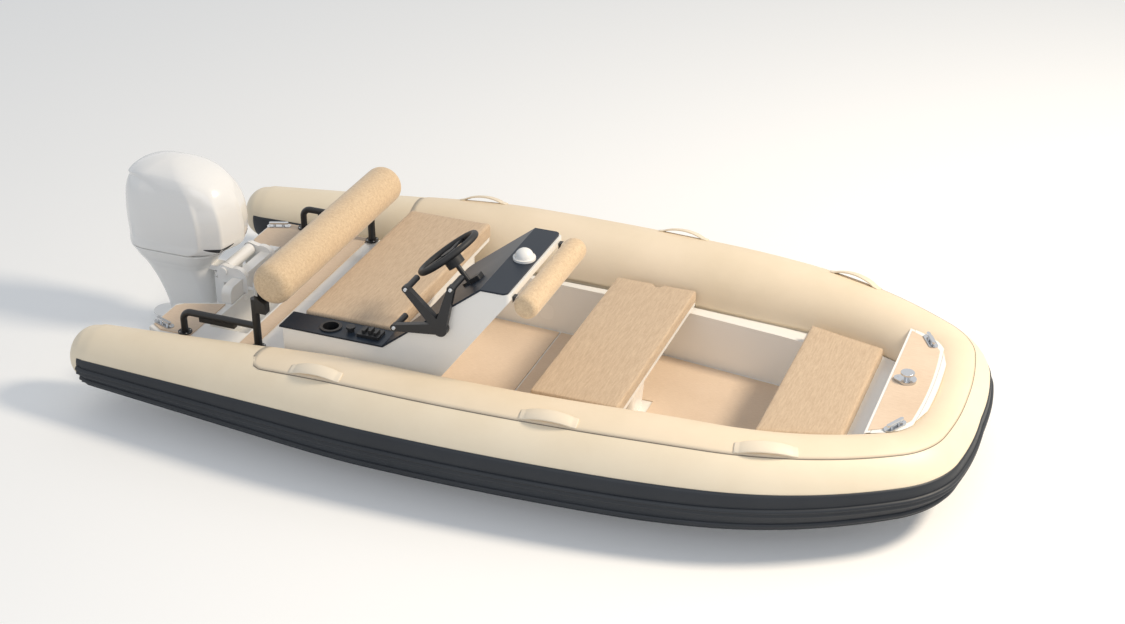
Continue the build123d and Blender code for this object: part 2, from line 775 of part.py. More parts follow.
knob_x = -641
lever_x = -545
on_arm = arm_top + skin_gap
with BuildPart() as arm_controls:
    with Locations((knob_x, arm_y, on_arm + 12)):
        Cylinder(15, 24)
    with Locations((knob_x, arm_y, on_arm + 20)):
        Cylinder(21, 8)
    box((lever_x - 52, lever_x + 52), (arm_y - 34, arm_y + 34), (on_arm, on_arm + 14))
    for x, high in ((lever_x - 26, 18), (lever_x + 4, 22), (lever_x + 30, 16)):
        box((x - 7, x + 7), (arm_y - 20, arm_y + 20), (on_arm + 8, on_arm + 10 + high))
finish("arm_controls", arm_controls)

# plane of the sloping face: x up the slope to the bow, z out of the face
normal = (-sin(radians(slope_angle)), 0, cos(radians(slope_angle)))
foot_x = -155
foot = (foot_x, wheel_y, arm_top + (foot_x - slope_x0) * slope_rise)
face = Plane(origin=foot, x_dir=(cos(radians(slope_angle)), 0, sin(radians(slope_angle))), z_dir=normal)
column_radius = 11
hub_radius = 41
hub_length = 64
with BuildPart() as steering_column:
    with BuildSketch(face.offset(skin_gap)):
        Circle(32)
    extrude(amount=12)
    with BuildSketch(face.offset(skin_gap)):
        Circle(column_radius)
    extrude(amount=wheel_stand - 20 - skin_gap)
finish("steering_column", steering_column)

with BuildPart() as steering_wheel:
    hub_plane = face.offset(wheel_stand)
    with BuildSketch(face.offset(wheel_stand - hub_length)):
        Circle(hub_radius)
    extrude(amount=hub_length - 8)
    with BuildSketch(face.offset(wheel_stand - hub_length)):
        Circle(column_radius + pin_play)
    extrude(amount=hub_length - 20 + pin_play, mode=Mode.SUBTRACT)
    with BuildSketch(face.offset(wheel_stand - 14)):
        Circle(34)
    extrude(amount=20)
    with BuildSketch(Plane(origin=hub_plane.origin + hub_plane.x_dir * wheel_radius, x_dir=hub_plane.x_dir,
                           z_dir=hub_plane.y_dir)):
        Circle(rim_radius)
    revolve(axis=Axis(hub_plane.origin, hub_plane.z_dir), revolution_arc=360)
    for turn in (90, 210, 330):
        along = hub_plane.x_dir * cos(radians(turn)) + hub_plane.y_dir * sin(radians(turn))
        spoke_at = hub_plane.origin - hub_plane.z_dir * 6
        with BuildSketch(Plane(origin=spoke_at, x_dir=along, z_dir=hub_plane.z_dir)):
            with Locations((wheel_radius / 2, 0)):
                Rectangle(wheel_radius, 30)
        extrude(amount=9)
finish("steering_wheel", steering_wheel)

switch_side = -34           # the switch box stands beside the column
with BuildPart() as switch_box:
    switch_at = face.origin + face.x_dir * 66 + face.y_dir * switch_side + face.z_dir * skin_gap
    with BuildSketch(Plane(origin=switch_at, x_dir=face.x_dir, z_dir=face.z_dir)):
        RectangleRounded(56, 46, 6)
    extrude(amount=20)
finish("switch_box", switch_box)

compass_at = (72, -336)
compass_radius = 49
with BuildPart() as compass:
    with Locations((*compass_at, dash_top + skin_gap + 5)):
        Cylinder(compass_radius, 10)
    with Locations((*compass_at, dash_top + skin_gap + 8)):
        Sphere(compass_radius - 8, arc_size1=0, align=upward)
finish("compass", compass)

bolster_x = dash_x1 + lip + bolster_radius + 4
bolster_z = 808
bolster_end = (-(arm_outer - 5), -(dash_port - 15))
bolster_length = bolster_end[1] - bolster_end[0]
bolster_y = (bolster_end[0] + bolster_end[1]) / 2
with BuildPart() as console_bolster:
    with Locations(Location((bolster_x, bolster_y, bolster_z), (90, 0, 0))):
        Cylinder(bolster_radius, bolster_length)
    fillet(console_bolster.edges().filter_by(GeomType.CIRCLE), radius=26)
finish("console_bolster", console_bolster)

with BuildPart() as bolster_brackets:
    for y in (bolster_end[0] + 32, bolster_end[1] - 60):
        box((dash_x1 + lip + 3 + joint_gap, bolster_x), (y - 13, y + 13), (bolster_z + 12, bolster_z + 40))
    with Locations(Location((bolster_x, bolster_y, bolster_z), (90, 0, 0))):
        Cylinder(bolster_radius + skin_gap, 2 * bolster_length, mode=Mode.SUBTRACT)
finish("bolster_brackets", bolster_brackets)

# three-armed hand bracket on the starboard side of the console
bracket_hub = (-172, 658)
bracket_arms = ((-322, 818), (-116, 856), (-385, 622))
bracket_thick = 26
bracket_y = -(arm_outer + 6)
with BuildPart() as hand_bracket:
    with BuildSketch(Plane(origin=(0, bracket_y, 0), x_dir=(1, 0, 0), z_dir=(0, -1, 0))):
        with Locations(bracket_hub):
            Circle(34)
        for x, z in bracket_arms:
            run = (x - bracket_hub[0], z - bracket_hub[1])
            reach = (run[0] ** 2 + run[1] ** 2) ** 0.5
            across = (-run[1] / reach, run[0] / reach)
            corners = [(end[0] + across[0] * half, end[1] + across[1] * half)
                       for end, half in ((bracket_hub, -26), (bracket_hub, 26), ((x, z), 15), ((x, z), -15))]
            with BuildLine():
                Polyline(corners, close=True)
            make_face()
            with Locations((x, z)):
                Circle(17)
    extrude(amount=bracket_thick)
    for x, z in bracket_arms:
        with Locations(Location((x, bracket_y - 14, z), (-90, 0, 0))):
            Cylinder(14, 104, align=upward)
    with Locations(Location((bracket_hub[0], bracket_y - 6, bracket_hub[1]), (-90, 0, 0))):
        Cylinder(26, 12 - joint_gap, align=upward)
finish("hand_bracket", hand_bracket)

# ================================================================ outboard motor
clamp_front = transom_x + transom_thickness
clamp_foot = stern_deck_top + 3
over_transom = transom_top + joint_gap
with BuildPart() as clamp_bracket:
    with BuildSketch(Plane.XZ) as arm_side:
        with BuildLine():
            Polyline((clamp_front, over_transom), (clamp_front, clamp_foot), (clamp_front + 24, clamp_foot),
                     (clamp_front + 24, transom_top + 6))
            ThreePointArc((clamp_front + 24, transom_top + 6), (clamp_front + 4, transom_top + 38),
                          (transom_x, tilt_z + 22))
            Line((transom_x, tilt_z + 22), (tilt_x + 10, tilt_z + 30))
            ThreePointArc((tilt_x + 10, tilt_z + 30), (tilt_x - 24, tilt_z + 24), (tilt_x - 36, tilt_z - 8))
            Polyline((tilt_x - 36, tilt_z - 8), (tilt_x - 26, 170), (transom_x - 14, 118),
                     (transom_x - joint_gap, 118), (transom_x - joint_gap, over_transom),
                     (clamp_front, over_transom))
        make_face()
        with BuildLine():
            Polyline((tilt_x - 6, tilt_z - 60), (transom_x - 16, tilt_z - 60), (transom_x - 16, 190),
                     (tilt_x - 2, 205), close=True)
        make_face(mode=Mode.SUBTRACT)
    for side in (1, -1):
        arm = arm_side.sketch.moved(Location((0, side * bracket_half, 0)))
        extrude(arm, amount=arm_thick / 2, both=True)
        with Locations(Location((clamp_front + 24, side * bracket_half, 330), (0, 90, 0))):
            Cylinder(9, 26, align=upward)
        with Locations((clamp_front + 54, side * bracket_half, 330)):
            Box(9, 14, 66)
    box((transom_x + 8, clamp_front + 12), (-bracket_half, bracket_half), (over_transom, transom_top + 20))
    with Locations(Location((tilt_x, 0, tilt_z), (90, 0, 0))):
        Cylinder(pin_radius, 2 * bracket_half + arm_thick + 16)
    for side in (1, -1):
        with Locations(Location((tilt_x, side * (bracket_half + arm_thick / 2 + 5), tilt_z), (90, 0, 0))):
            Cylinder(21, 10)
finish("clamp_bracket", clamp_bracket)

swivel_half = bracket_half - arm_thick / 2 - swivel_play
swivel_foot = 110
swivel_top = 330
with BuildPart() as swivel_bracket:
    with Locations(Location((tilt_x, 0, tilt_z), (90, 0, 0))):
        Cylinder(30, 2 * swivel_half)
    with BuildSketch(Plane.XZ):
        with BuildLine():
            Polyline((tilt_x - 4, tilt_z + 27), (tilt_x - 44, tilt_z - 10), (steer_x + 46, swivel_top + 6),
                     (steer_x + 46, swivel_top - 10), (steer_x, swivel_top - 10),
                     (steer_x, swivel_foot + 30), (steer_x + 46, 180), (tilt_x - 34, 260),
                     (tilt_x - 18, tilt_z - 27), (tilt_x + 4, tilt_z - 27), close=True)
        make_face()
    extrude(amount=70, both=True)
    with Locations((steer_x, 0, swivel_foot)):
        Cylinder(38, swivel_top - swivel_foot, align=upward)
    with Locations((steer_x, 0, swivel_foot)):
        Cylinder(steer_radius + pin_play, 800, mode=Mode.SUBTRACT)
    with Locations(Location((tilt_x, 0, tilt_z), (90, 0, 0))):
        Cylinder(pin_radius + pin_play, 400, mode=Mode.SUBTRACT)
finish("swivel_bracket", swivel_bracket)

# plan sections of the cowl: height, aft end, front end, width
pan_rows = ((340, -2036, -1696, 196), (400, -2078, -1650, 264), (452, -2104, -1606, 312))
cowl_rows = ((452, -2108, -1600, 318), (500, -2114, -1522, 340), (600, -2116, -1514, 352),
             (700, -2110, -1532, 346), (780, -2084, -1570, 314), (835, -2020, -1620, 262),
             (868, -1950, -1680, 190))


def rounded_plan(x0, x1, width, share=0.46):
    with Locations(((x0 + x1) / 2, 0)):
        RectangleRounded(x1 - x0, width, width * share)


with BuildPart() as cowl:
    for z, x0, x1, width in cowl_rows:
        with BuildSketch(Plane.XY.offset(z + (joint_gap if z == cowl_rows[0][0] else 0))):
            rounded_plan(x0, x1, width)
    loft(ruled=True)
    with BuildPart(mode=Mode.SUBTRACT):
        box((-2040, -1640), (-110, 110), (400, 765))
finish("cowl", cowl)

with BuildPart() as powerhead:
    box((-2020, -1660), (-95, 95), (453, 750))
finish("powerhead", powerhead)

leg_rows = ((340, -2045, -1700, 170), (230, -1990, -1702, 120), (120, -1952, -1704, 96),
            (20, -1946, -1706, 82), (-60, -1944, -1708, 76))
plates = ((splash_z, -2050, -1700, 68, 7), (plate_z, -2110, -1690, 100, 7))
gear_nose = -1700
gear_tail = -2040
hub_size = 38
skeg_z = -395
# lower leg: bottom, top, aft end, front end, width
blade_rows = ((gear_z, plate_z, -1950, -1730, 52), (plate_z, -50, -1946, -1712, 74))
with BuildPart() as engine_leg:
    for z, x0, x1, width in pan_rows:
        with BuildSketch(Plane.XY.offset(z)):
            rounded_plan(x0, x1, width)
    loft(ruled=True)
    for z, x0, x1, width in leg_rows:
        with BuildSketch(Plane.XY.offset(z)):
            rounded_plan(x0, x1, width)
    loft(ruled=True)
    for z in ((swivel_top + 5, swivel_top + 30), (swivel_foot - 36, swivel_foot - 6)):
        box((-1720, steer_x), (-32, 32), z)
        with Locations((steer_x, 0, z[0])):
            Cylinder(32, z[1] - z[0], align=upward)
    with Locations((steer_x, 0, swivel_foot - 30)):
        Cylinder(steer_radius, swivel_top - swivel_foot + 50, align=upward)
    for z, x0, x1, half, thick in plates:
        with BuildSketch(Plane.XY.offset(z)):
            with Locations((x0 + half, 0)):
                Circle(half)
            with Locations((x1 - 20, 0)):
                Circle(20)
            make_hull()
        extrude(amount=thick)
    for z0, z1, x0, x1, width in blade_rows:
        with BuildSketch(Plane.XY.offset(z0)):
            with Locations(((x0 + x1) / 2, 0)):
                Ellipse((x1 - x0) / 2, width / 2)
        extrude(amount=z1 - z0)
    with BuildSketch(Plane.XZ) as torpedo:
        with BuildLine() as torpedo_line:
            gear_top = gear_z + gear_radius
            Polyline((gear_nose, gear_z), (gear_nose - 30, gear_z + 26), (gear_nose - 100, gear_top),
                     (gear_tail + 140, gear_top), (gear_tail, gear_z + hub_size), (gear_tail, gear_z),
                     close=True)
        make_face()
    revolve(torpedo.sketch, axis=Axis((0, 0, gear_z), (1, 0, 0)))
    with Locations(Location((gear_tail + 20, 0, gear_z), (0, -90, 0))):
        Cylinder(shaft_radius, 75, align=upward)
    with BuildSketch(Plane.XZ):
        with BuildLine():
            Polyline((-1770, gear_z), (-1800, skeg_z), (-1860, skeg_z), (-1970, gear_z), close=True)
        make_face()
    extrude(amount=6, both=True)
finish("engine_leg", engine_leg)

blade_count = 3
blade_pitch = 24
# blade sections: reach from the shaft, chord, thickness, extra twist
blade_back = ((-0.25, 0.43), (0, 0.5), (0.25, 0.43))      # shares of the chord and of the thickness
blade_table = ((24, 62, 10, 26), (70, 96, 8, 10), (112, 92, 6, 0), (prop_radius, 34, 3, -4))
with BuildPart() as propeller:
    with Locations(Location((gear_tail - 5, 0, gear_z), (0, -90, 0))):
        Cone(hub_size, hub_size - 6, 92, align=upward)
    for n in range(blade_count):
        spin = Location((prop_x, 0, gear_z), (360 / blade_count * n, 0, 0))
        for reach, chord, thick, twist in blade_table:
            section = spin * Location((0, 0, reach)) * Location((0, 0, 0), (0, 0, 90 - blade_pitch - twist))
            back = [(chord * share, thick * rise) for share, rise in blade_back]
            with BuildSketch(Plane(section)):
                front = [(u, -v) for u, v in reversed(back)]
                with BuildLine():
                    Polyline([(-chord / 2, 0), *back, (chord / 2, 0), *front], close=True)
                make_face()
        loft(ruled=True)
    with Locations(Location((gear_tail, 0, gear_z), (0, -90, 0))):
        Cylinder(shaft_radius + pin_play, 60, align=upward, mode=Mode.SUBTRACT)
finish("propeller", propeller)
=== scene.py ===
"""Inflatable rib boat with a side helm and a white outboard motor, afloat at rest.

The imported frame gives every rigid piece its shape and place. This script follows the boat as it is put
together: the light and the water level, then the tubes, the moulded hull and decks, the seats, the helm,
the rails and rolls, and the motor. Metres, +X to the bow, +Y to port, +Z up, the waterline at zero.
"""
import math

import bmesh
import bpy
from mathutils import Matrix, Vector


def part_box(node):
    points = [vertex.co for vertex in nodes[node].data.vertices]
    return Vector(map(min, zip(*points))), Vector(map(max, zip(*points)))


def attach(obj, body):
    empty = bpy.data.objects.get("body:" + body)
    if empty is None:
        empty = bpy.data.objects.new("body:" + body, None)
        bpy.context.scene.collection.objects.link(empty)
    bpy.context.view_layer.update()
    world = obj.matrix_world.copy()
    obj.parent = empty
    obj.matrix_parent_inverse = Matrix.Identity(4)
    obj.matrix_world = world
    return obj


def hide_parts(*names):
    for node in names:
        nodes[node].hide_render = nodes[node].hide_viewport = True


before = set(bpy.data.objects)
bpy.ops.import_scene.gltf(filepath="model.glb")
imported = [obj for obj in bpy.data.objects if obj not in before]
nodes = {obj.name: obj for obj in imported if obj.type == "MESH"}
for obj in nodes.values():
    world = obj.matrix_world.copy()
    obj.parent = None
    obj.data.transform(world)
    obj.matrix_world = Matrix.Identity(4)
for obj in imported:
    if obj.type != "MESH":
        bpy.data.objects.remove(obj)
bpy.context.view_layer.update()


# ---------------------------------------------------------------- water level, light and camera
# A flat pale floor stands in for calm water, a hair under the waterline, and the tubes float just over it.
# One broad soft lamp from the bow and port side, a weak one from starboard and a pale sky light the boat.

def srgb(code):
    """Linear colour from a six-digit sRGB code."""
    parts = [int(code[i:i + 2], 16) / 255 for i in (0, 2, 4)]
    return [c / 12.92 if c <= 0.04045 else ((c + 0.055) / 1.055) ** 2.4 for c in parts] + [1]


def node_maker(tree):
    """Returns a function that adds a node, sets its inputs by name and gives it back."""
    def add(kind, sockets=None, **settings):
        node = tree.nodes.new(kind)
        for key, value in settings.items():
            setattr(node, key, value)
        for key, value in (sockets or {}).items():
            if isinstance(value, bpy.types.NodeSocket):
                tree.links.new(value, node.inputs[key])
            else:
                node.inputs[key].default_value = value
        return node
    return add


def empty_tree(owner):
    """Gives a material or world an empty node tree and returns its node adder."""
    owner.use_nodes = True
    owner.node_tree.nodes.clear()
    return node_maker(owner.node_tree)


def seen_by(add, *rays):
    """One where the ray is of a named kind, else zero."""
    kinds = add("ShaderNodeLightPath").outputs
    seen = kinds[rays[0]]
    for ray in rays[1:]:
        seen = add("ShaderNodeMath", {0: seen, 1: kinds[ray]}, operation="MAXIMUM").outputs[0]
    return seen


def still_water():
    """Matt pale grey, lifted a little where it is seen, so that it stays light far from the lamp."""
    material = bpy.data.materials.new("pale floor")
    add = empty_tree(material)
    matt = add("ShaderNodeBsdfDiffuse", {"Color": srgb("F4F4F2")})
    lift = add("ShaderNodeEmission", {"Color": srgb("FFFFFF"), "Strength": 0.12})
    both = add("ShaderNodeAddShader", {0: matt.outputs[0], 1: lift.outputs[0]})
    seen = seen_by(add, "Is Camera Ray", "Is Glossy Ray")
    mix = add("ShaderNodeMixShader", {0: seen, 1: matt.outputs[0], 2: both.outputs[0]})
    add("ShaderNodeOutputMaterial", {"Surface": mix.outputs[0]})
    return material


def pale_sky():
    """Lights the boat with a cool even sky, and shows it nearly white."""
    world = bpy.data.worlds.new("pale sky")
    add = empty_tree(world)
    lit = add("ShaderNodeBackground", {"Color": srgb("E9EFF8"), "Strength": 0.56})
    shown = add("ShaderNodeBackground", {"Color": srgb("FCFCFC"), "Strength": 1.0})
    seen = seen_by(add, "Is Camera Ray", "Is Glossy Ray", "Is Transmission Ray")
    mix = add("ShaderNodeMixShader", {0: seen, 1: lit.outputs[0], 2: shown.outputs[0]})
    add("ShaderNodeOutputWorld", {"Surface": mix.outputs[0]})
    return world


def studio():
    scene = bpy.context.scene
    scene.view_settings.view_transform = "Standard"
    scene.world = pale_sky()

    floor_half = 40
    level = -0.006                      # the cockpit sole lies on the waterline itself
    corners = [(x * floor_half, y * floor_half, level) for x, y in ((-1, -1), (1, -1), (1, 1), (-1, 1))]
    mesh = bpy.data.meshes.new("water level")
    mesh.from_pydata(corners, [], [(0, 1, 2, 3)])
    mesh.materials.append(still_water())
    floor = bpy.data.objects.new("water_level", mesh)
    scene.collection.objects.link(floor)

    # name, place, aimed at, size, watts, colour
    lamps = (("key lamp", (6.1, 1.0, 6.4), (0, 0, 0.3), 1.9, 620, "FFF0DA"),
             ("fill lamp", (1.0, -6.5, 4.0), (0, 0, 0.3), 5.0, 60, "EAF1FF"))
    for name, place, aim, size, watts, colour in lamps:
        light = bpy.data.lights.new(name, "AREA")
        light.shape = "DISK"
        light.size = size
        light.energy = watts
        light.color = srgb(colour)[:3]
        lamp = bpy.data.objects.new(name, light)
        lamp.location = place
        lamp.rotation_euler = (Vector(aim) - Vector(place)).to_track_quat("-Z", "Y").to_euler()
        scene.collection.objects.link(lamp)

    azimuth = math.radians(21.2249)
    elevation = math.radians(29.0948)
    camera_data = bpy.data.cameras.new("camera")
    camera_data.sensor_width = 36
    camera_data.lens = 58.42
    camera_data.clip_end = 200
    camera = bpy.data.objects.new("camera", camera_data)
    camera.location = (2.70214, -6.66355, 4.42457)
    camera.rotation_euler = (math.pi / 2 - elevation, 0, azimuth)
    scene.collection.objects.link(camera)
    scene.camera = camera


studio()


# ---------------------------------------------------------------- inflated tubes
# One air tube runs right round the boat from stern cone to stern cone, sewn and glued from coated fabric
# in cream. Its path is the boat's plan line: straight cones, long side arcs and a blunt bow.

def new_material(name):
    """An empty material, its node adder and its Object coordinates."""
    material = bpy.data.materials.new(name)
    add = empty_tree(material)
    return material, add, add("ShaderNodeTexCoord").outputs["Object"]


def noise(add, place, scale, detail, roughness=0.5):
    return add("ShaderNodeTexNoise", {"Vector": place, "Scale": scale, "Detail": detail,
                                      "Roughness": roughness}).outputs["Fac"]


def stretched(add, place, scale):
    return add("ShaderNodeMapping", {"Vector": place, "Scale": scale}).outputs[0]


def mixed(add, share, a, b):
    return add("ShaderNodeMix", {"Factor": share, 2: a, 3: b}).outputs[0]


def between(add, value, low, high):
    """A value from nought to one spread from low to high."""
    return add("ShaderNodeMapRange", {"Value": value, "To Min": low, "To Max": high}).outputs[0]


def two_tone(add, value, *stops):
    """Two colours blended by a value, from two (position, colour) stops."""
    ramp = add("ShaderNodeValToRGB", {"Fac": value})
    for element, (position, colour) in zip(ramp.color_ramp.elements, stops):
        element.position = position
        element.color = srgb(colour)
    return ramp.outputs[0]


def bumps(add, height, strength, distance):
    return add("ShaderNodeBump", {"Height": height, "Strength": strength, "Distance": distance}).outputs[0]


def surface(add, sockets):
    """Closes a material with its Principled shader."""
    add("ShaderNodeOutputMaterial", {"Surface": add("ShaderNodeBsdfPrincipled", sockets).outputs[0]})


def coated_fabric(name, colour, shade, rough=0.42, weave=0.0009, bump=0.18):
    """Rubber-coated cloth: faint cloudy colour, fine weave and soft creases under a satin skin."""
    material, add, place = new_material(name)
    cloud = noise(add, place, 2.2, 5.0, roughness=0.55)
    scuff = noise(add, place, 34.0, 6.0)
    yarn = noise(add, place, 1 / weave, 2.0)
    crease = noise(add, place, 9.0, 3.0)
    surface(add, {"Base Color": two_tone(add, cloud, (0.32, shade), (0.68, colour)),
                  "Roughness": between(add, scuff, rough - 0.05, rough + 0.09),
                  "Normal": bumps(add, mixed(add, 0.35, yarn, crease), bump, 0.0012),
                  "Specular IOR Level": 0.42})
    return material


cream_fabric = coated_fabric("cream coated fabric", "F4E6CC", "EBDBBF")

stern_end = Vector((-1.940, 0.781))
beam_point = Vector((-0.563, 0.822))
side_arc, shoulder_arc, corner_arc = 10.386, 1.625, 0.262
shoulder_x = 1.018
shoulder_turn, corner_turn = math.radians(33.5), math.radians(78.0)
full_radius, cone_radius, bow_radius = 0.214, 0.129, 0.138
tube_height, cone_drop, bow_lift = 0.266, 0.020, 0.012
taper_start = 0.841
run_spacing, corner_spacing = 0.03, 0.0105      # between stations, on long arcs and on tight ones


def tube_path():
    """Stations of the port half, stern to bow tip: plan point, heading, radius and height."""
    lean = -math.atan2(beam_point.y - stern_end.y, beam_point.x - stern_end.x)
    swing = math.asin((shoulder_x - beam_point.x) / side_arc + math.sin(lean))
    stretches = []
    point = beam_point.copy()
    for radius, h0, h1 in ((side_arc, lean, swing), (shoulder_arc, swing, shoulder_turn),
                           (corner_arc, shoulder_turn, corner_turn)):
        stretches.append((point.copy(), radius, h0, h1))
        point = Vector((point.x + radius * (math.sin(h1) - math.sin(h0)),
                        point.y - radius * (math.cos(h0) - math.cos(h1))))
    front_arc = point.y / math.cos(corner_turn)
    stretches.append((point.copy(), front_arc, corner_turn, math.pi / 2))
    bow_run = sum(radius * (h1 - h0) for _, radius, h0, h1 in stretches[1:])
    stations = []
    cone = beam_point - stern_end
    count = round(cone.length / run_spacing)
    for i in range(count):
        share = i / count
        stations.append((stern_end + cone * share, lean, cone_radius + (full_radius - cone_radius) * share,
                         tube_height - cone_drop * (1 - share)))
    run = 0
    for start, radius, h0, h1 in stretches:
        before_bow = radius == side_arc
        steps = max(3, round(radius * (h1 - h0) / (run_spacing if radius > 1 else corner_spacing)))
        for i in range(steps + (h1 == math.pi / 2)):
            heading = h0 + (h1 - h0) * i / steps
            spot = Vector((start.x + radius * (math.sin(heading) - math.sin(h0)),
                           start.y - radius * (math.cos(h0) - math.cos(heading))))
            past = spot.x - shoulder_x if before_bow else run + radius * (heading - h0)
            share = max(0, (shoulder_x - taper_start + past) / (shoulder_x - taper_start + bow_run))
            stations.append((spot, heading, full_radius + (bow_radius - full_radius) * share,
                             tube_height + bow_lift * share))
        if not before_bow:
            run += radius * (h1 - h0)
    return stations


def smooth_shares(stations, spread=6):
    """Softens radius and height changes along the path, as the stiff fabric does."""
    rows = []
    for i, (spot, heading, _, _) in enumerate(stations):
        near = stations[i - spread:i + spread + 1] if spread <= i < len(stations) - spread else [stations[i]]
        rows.append((spot, heading, sum(n[2] for n in near) / len(near), sum(n[3] for n in near) / len(near)))
    return rows


path = smooth_shares(tube_path())


def both_sides(stations):
    """Origin, outboard direction and radius right round the boat, port stern to starboard stern."""
    port = [(Vector((spot.x, spot.y, height)), Vector((math.sin(heading), math.cos(heading), 0)), radius)
            for spot, heading, radius, height in stations]
    starboard = [(Vector((o.x, -o.y, o.z)), Vector((d.x, -d.y, 0)), r) for o, d, r in reversed(port[:-1])]
    return port + starboard


ring_path = both_sides(path)


def new_piece(name, shape, material, smooth=True):
    """Object from a bmesh, faces turned outwards, with one material."""
    bmesh.ops.recalc_face_normals(shape, faces=shape.faces)
    mesh = bpy.data.meshes.new(name)
    shape.to_mesh(mesh)
    shape.free()
    for polygon in mesh.polygons:
        polygon.use_smooth = smooth
    mesh.materials.append(material)
    piece = bpy.data.objects.new(name, mesh)
    bpy.context.scene.collection.objects.link(piece)
    return piece


def bridge(shape, rows):
    """Faces between closed rows of points, with the first and the last row filled."""
    for a, b in zip(rows, rows[1:]):
        for k in range(len(a)):
            n = (k + 1) % len(a)
            shape.faces.new((a[k], a[n], b[n], b[k]))
    shape.faces.new(rows[0])
    shape.faces.new(list(reversed(rows[-1])))


def swept(name, outlines, material, rings):
    """Skins along the tube. Each outline(radius, i) gives (angle in degrees, height over the tube) points."""
    shape = bmesh.new()
    for outline in outlines:
        rows = []
        for i, (origin, outward, radius) in enumerate(rings):
            row = []
            for angle, lift in outline(radius, i):
                turn = math.radians(angle)
                reach = radius + lift
                row.append(shape.verts.new(origin + outward * (reach * math.cos(turn))
                                           + Vector((0, 0, reach * math.sin(turn)))))
            rows.append(row)
        bridge(shape, rows)
    return new_piece(name, shape, material)


disc_shares = (0.08, 0.4, 0.75)     # rings across the flat middle of an end
round_steps = 10


def round_ends(rings, bend):
    """The tube's rings with each stern end closed by a disc whose edge is rounded off."""
    ends = []
    for end, neighbour in ((rings[0], rings[1]), (rings[-1], rings[-2])):
        inward = (neighbour[0] - end[0]).normalized()
        disc = end[2] - bend
        cap = [(end[0], end[1], disc * share) for share in disc_shares]
        for i in range(round_steps + 1):
            turn = math.pi / 2 * i / round_steps
            back = bend * (1 - math.cos(turn))
            cap.append((end[0] + inward * back, end[1], disc + bend * math.sin(turn)))
        ends.append(cap)
    clear = bend + 0.01
    middle = [r for r in rings if min((r[0] - rings[0][0]).length, (r[0] - rings[-1][0]).length) > clear]
    return ends[0] + middle + list(reversed(ends[1]))


tube_sides = 88
end_bend = 0.098
tube_rings = round_ends(ring_path, end_bend)
tube_outline = [(k * 360 / tube_sides, 0) for k in range(tube_sides)]
tube = swept("air_tube", [lambda radius, i: tube_outline], cream_fabric, tube_rings)
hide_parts("tube")
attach(tube, "boat")


# ---------------------------------------------------------------- black underside and rub strakes
# The lower half of the tube is wrapped in black coated fabric, glued over the cream. Along its outer side
# run two extruded rubber strakes, each with a groove between two ridges.

black_fabric = coated_fabric("black coated fabric", "242930", "181E26", rough=0.46, bump=0.12)
wrap_thickness, wrap_root = 0.004, -0.003
wrap_top, wrap_under = 16, -176
cone_wrap = -194            # aft of the hull the wrap comes up on the inboard side too
hull_aft, wrap_blend = -1.50, 0.14
wrap_steps = 46


def wrap_outline(radius, i):
    share = min(1, max(0, (hull_aft + wrap_blend - skin_rings[i][0].x) / wrap_blend))
    low = wrap_under + (cone_wrap - wrap_under) * share * share * (3 - 2 * share)
    angles = [low + (wrap_top - low) * k / wrap_steps for k in range(wrap_steps + 1)]
    outer = [(a, wrap_thickness * (0.5 if k in (0, wrap_steps) else 1)) for k, a in enumerate(angles)]
    return outer + [(a, wrap_root) for a in reversed(angles)]


end_rings = 12              # the skins stop short of the rounded ends
skin_rings = tube_rings[end_rings:-end_rings]
wrap = swept("underside_wrap", [wrap_outline], black_fabric, skin_rings)
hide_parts("tube_wrap")
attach(wrap, "boat")

# across the strake and out from the wrap, in millimetres
strake_profile = ((-22, -4), (-20.5, 3), (-17, 9.5), (-12, 12.5), (-7, 12), (-3.5, 8), (3.5, 8), (7, 12),
                  (12, 12.5), (17, 9.5), (20.5, 3), (22, -4))
strake_angles = (-9, -36)


def strake_outline(angle):
    def outline(radius, i):
        return [(angle + math.degrees(across / 1000 / radius), wrap_thickness + out / 1000)
                for across, out in strake_profile]
    return outline


strake_outlines = [strake_outline(angle) for angle in strake_angles]
strakes = swept("rub_strake_pair", strake_outlines, black_fabric, skin_rings)
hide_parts("rub_strakes")
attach(strakes, "boat")


# ---------------------------------------------------------------- wear patches
# A second skin of textured cream fabric is glued over the inboard top of the tube, from abreast of the
# helm seat right round the bow. Its aft corners are cut round so that they don't lift.

patch_fabric = coated_fabric("textured cream wear patch", "F1E0C6", "E7D6BA", rough=0.55, weave=0.0016,
                             bump=0.4)
patch_thickness = 0.003
patch_edge, patch_root = 0.35, -0.002       # thickness share at the seam, and how deep the skin is sunk
patch_aft, patch_corner = -1.0, 0.07
patch_outer, patch_inner = 61, 180          # degrees round the tube from its outboard side
patch_steps = 24
patch_rings = [r for r in ring_path if r[0].x > patch_aft]
patch_runs = [0]
for a, b in zip(patch_rings, patch_rings[1:]):
    patch_runs.append(patch_runs[-1] + (b[0] - a[0]).length)


def patch_outline(radius, i):
    run = min(patch_runs[i], patch_runs[-1] - patch_runs[i])
    short = max(0, patch_corner - run)
    inset = patch_corner - math.sqrt(patch_corner ** 2 - short ** 2)
    low = patch_outer + math.degrees(inset / radius)
    angles = [low + (patch_inner - low) * k / patch_steps for k in range(patch_steps + 1)]
    outer = [(a, patch_thickness * (patch_edge if k in (0, patch_steps) else 1))
             for k, a in enumerate(angles)]
    return outer + [(a, patch_root) for a in reversed(angles)]


patches = swept("wear_patches", [patch_outline], patch_fabric, patch_rings)
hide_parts("tube_patches")
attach(patches, "boat")

# a thin raised grey-brown strip all along the patch's outer edge is painted shadow: it darkens the seam where
# shade falls in its gap
seam_shadow_fabric = coated_fabric("grey-brown painted seam shadow", "8B8073", "7A6F62", rough=0.6, bump=0.05)
seam_shadow_width, seam_shadow_height = 0.0032, 0.0022


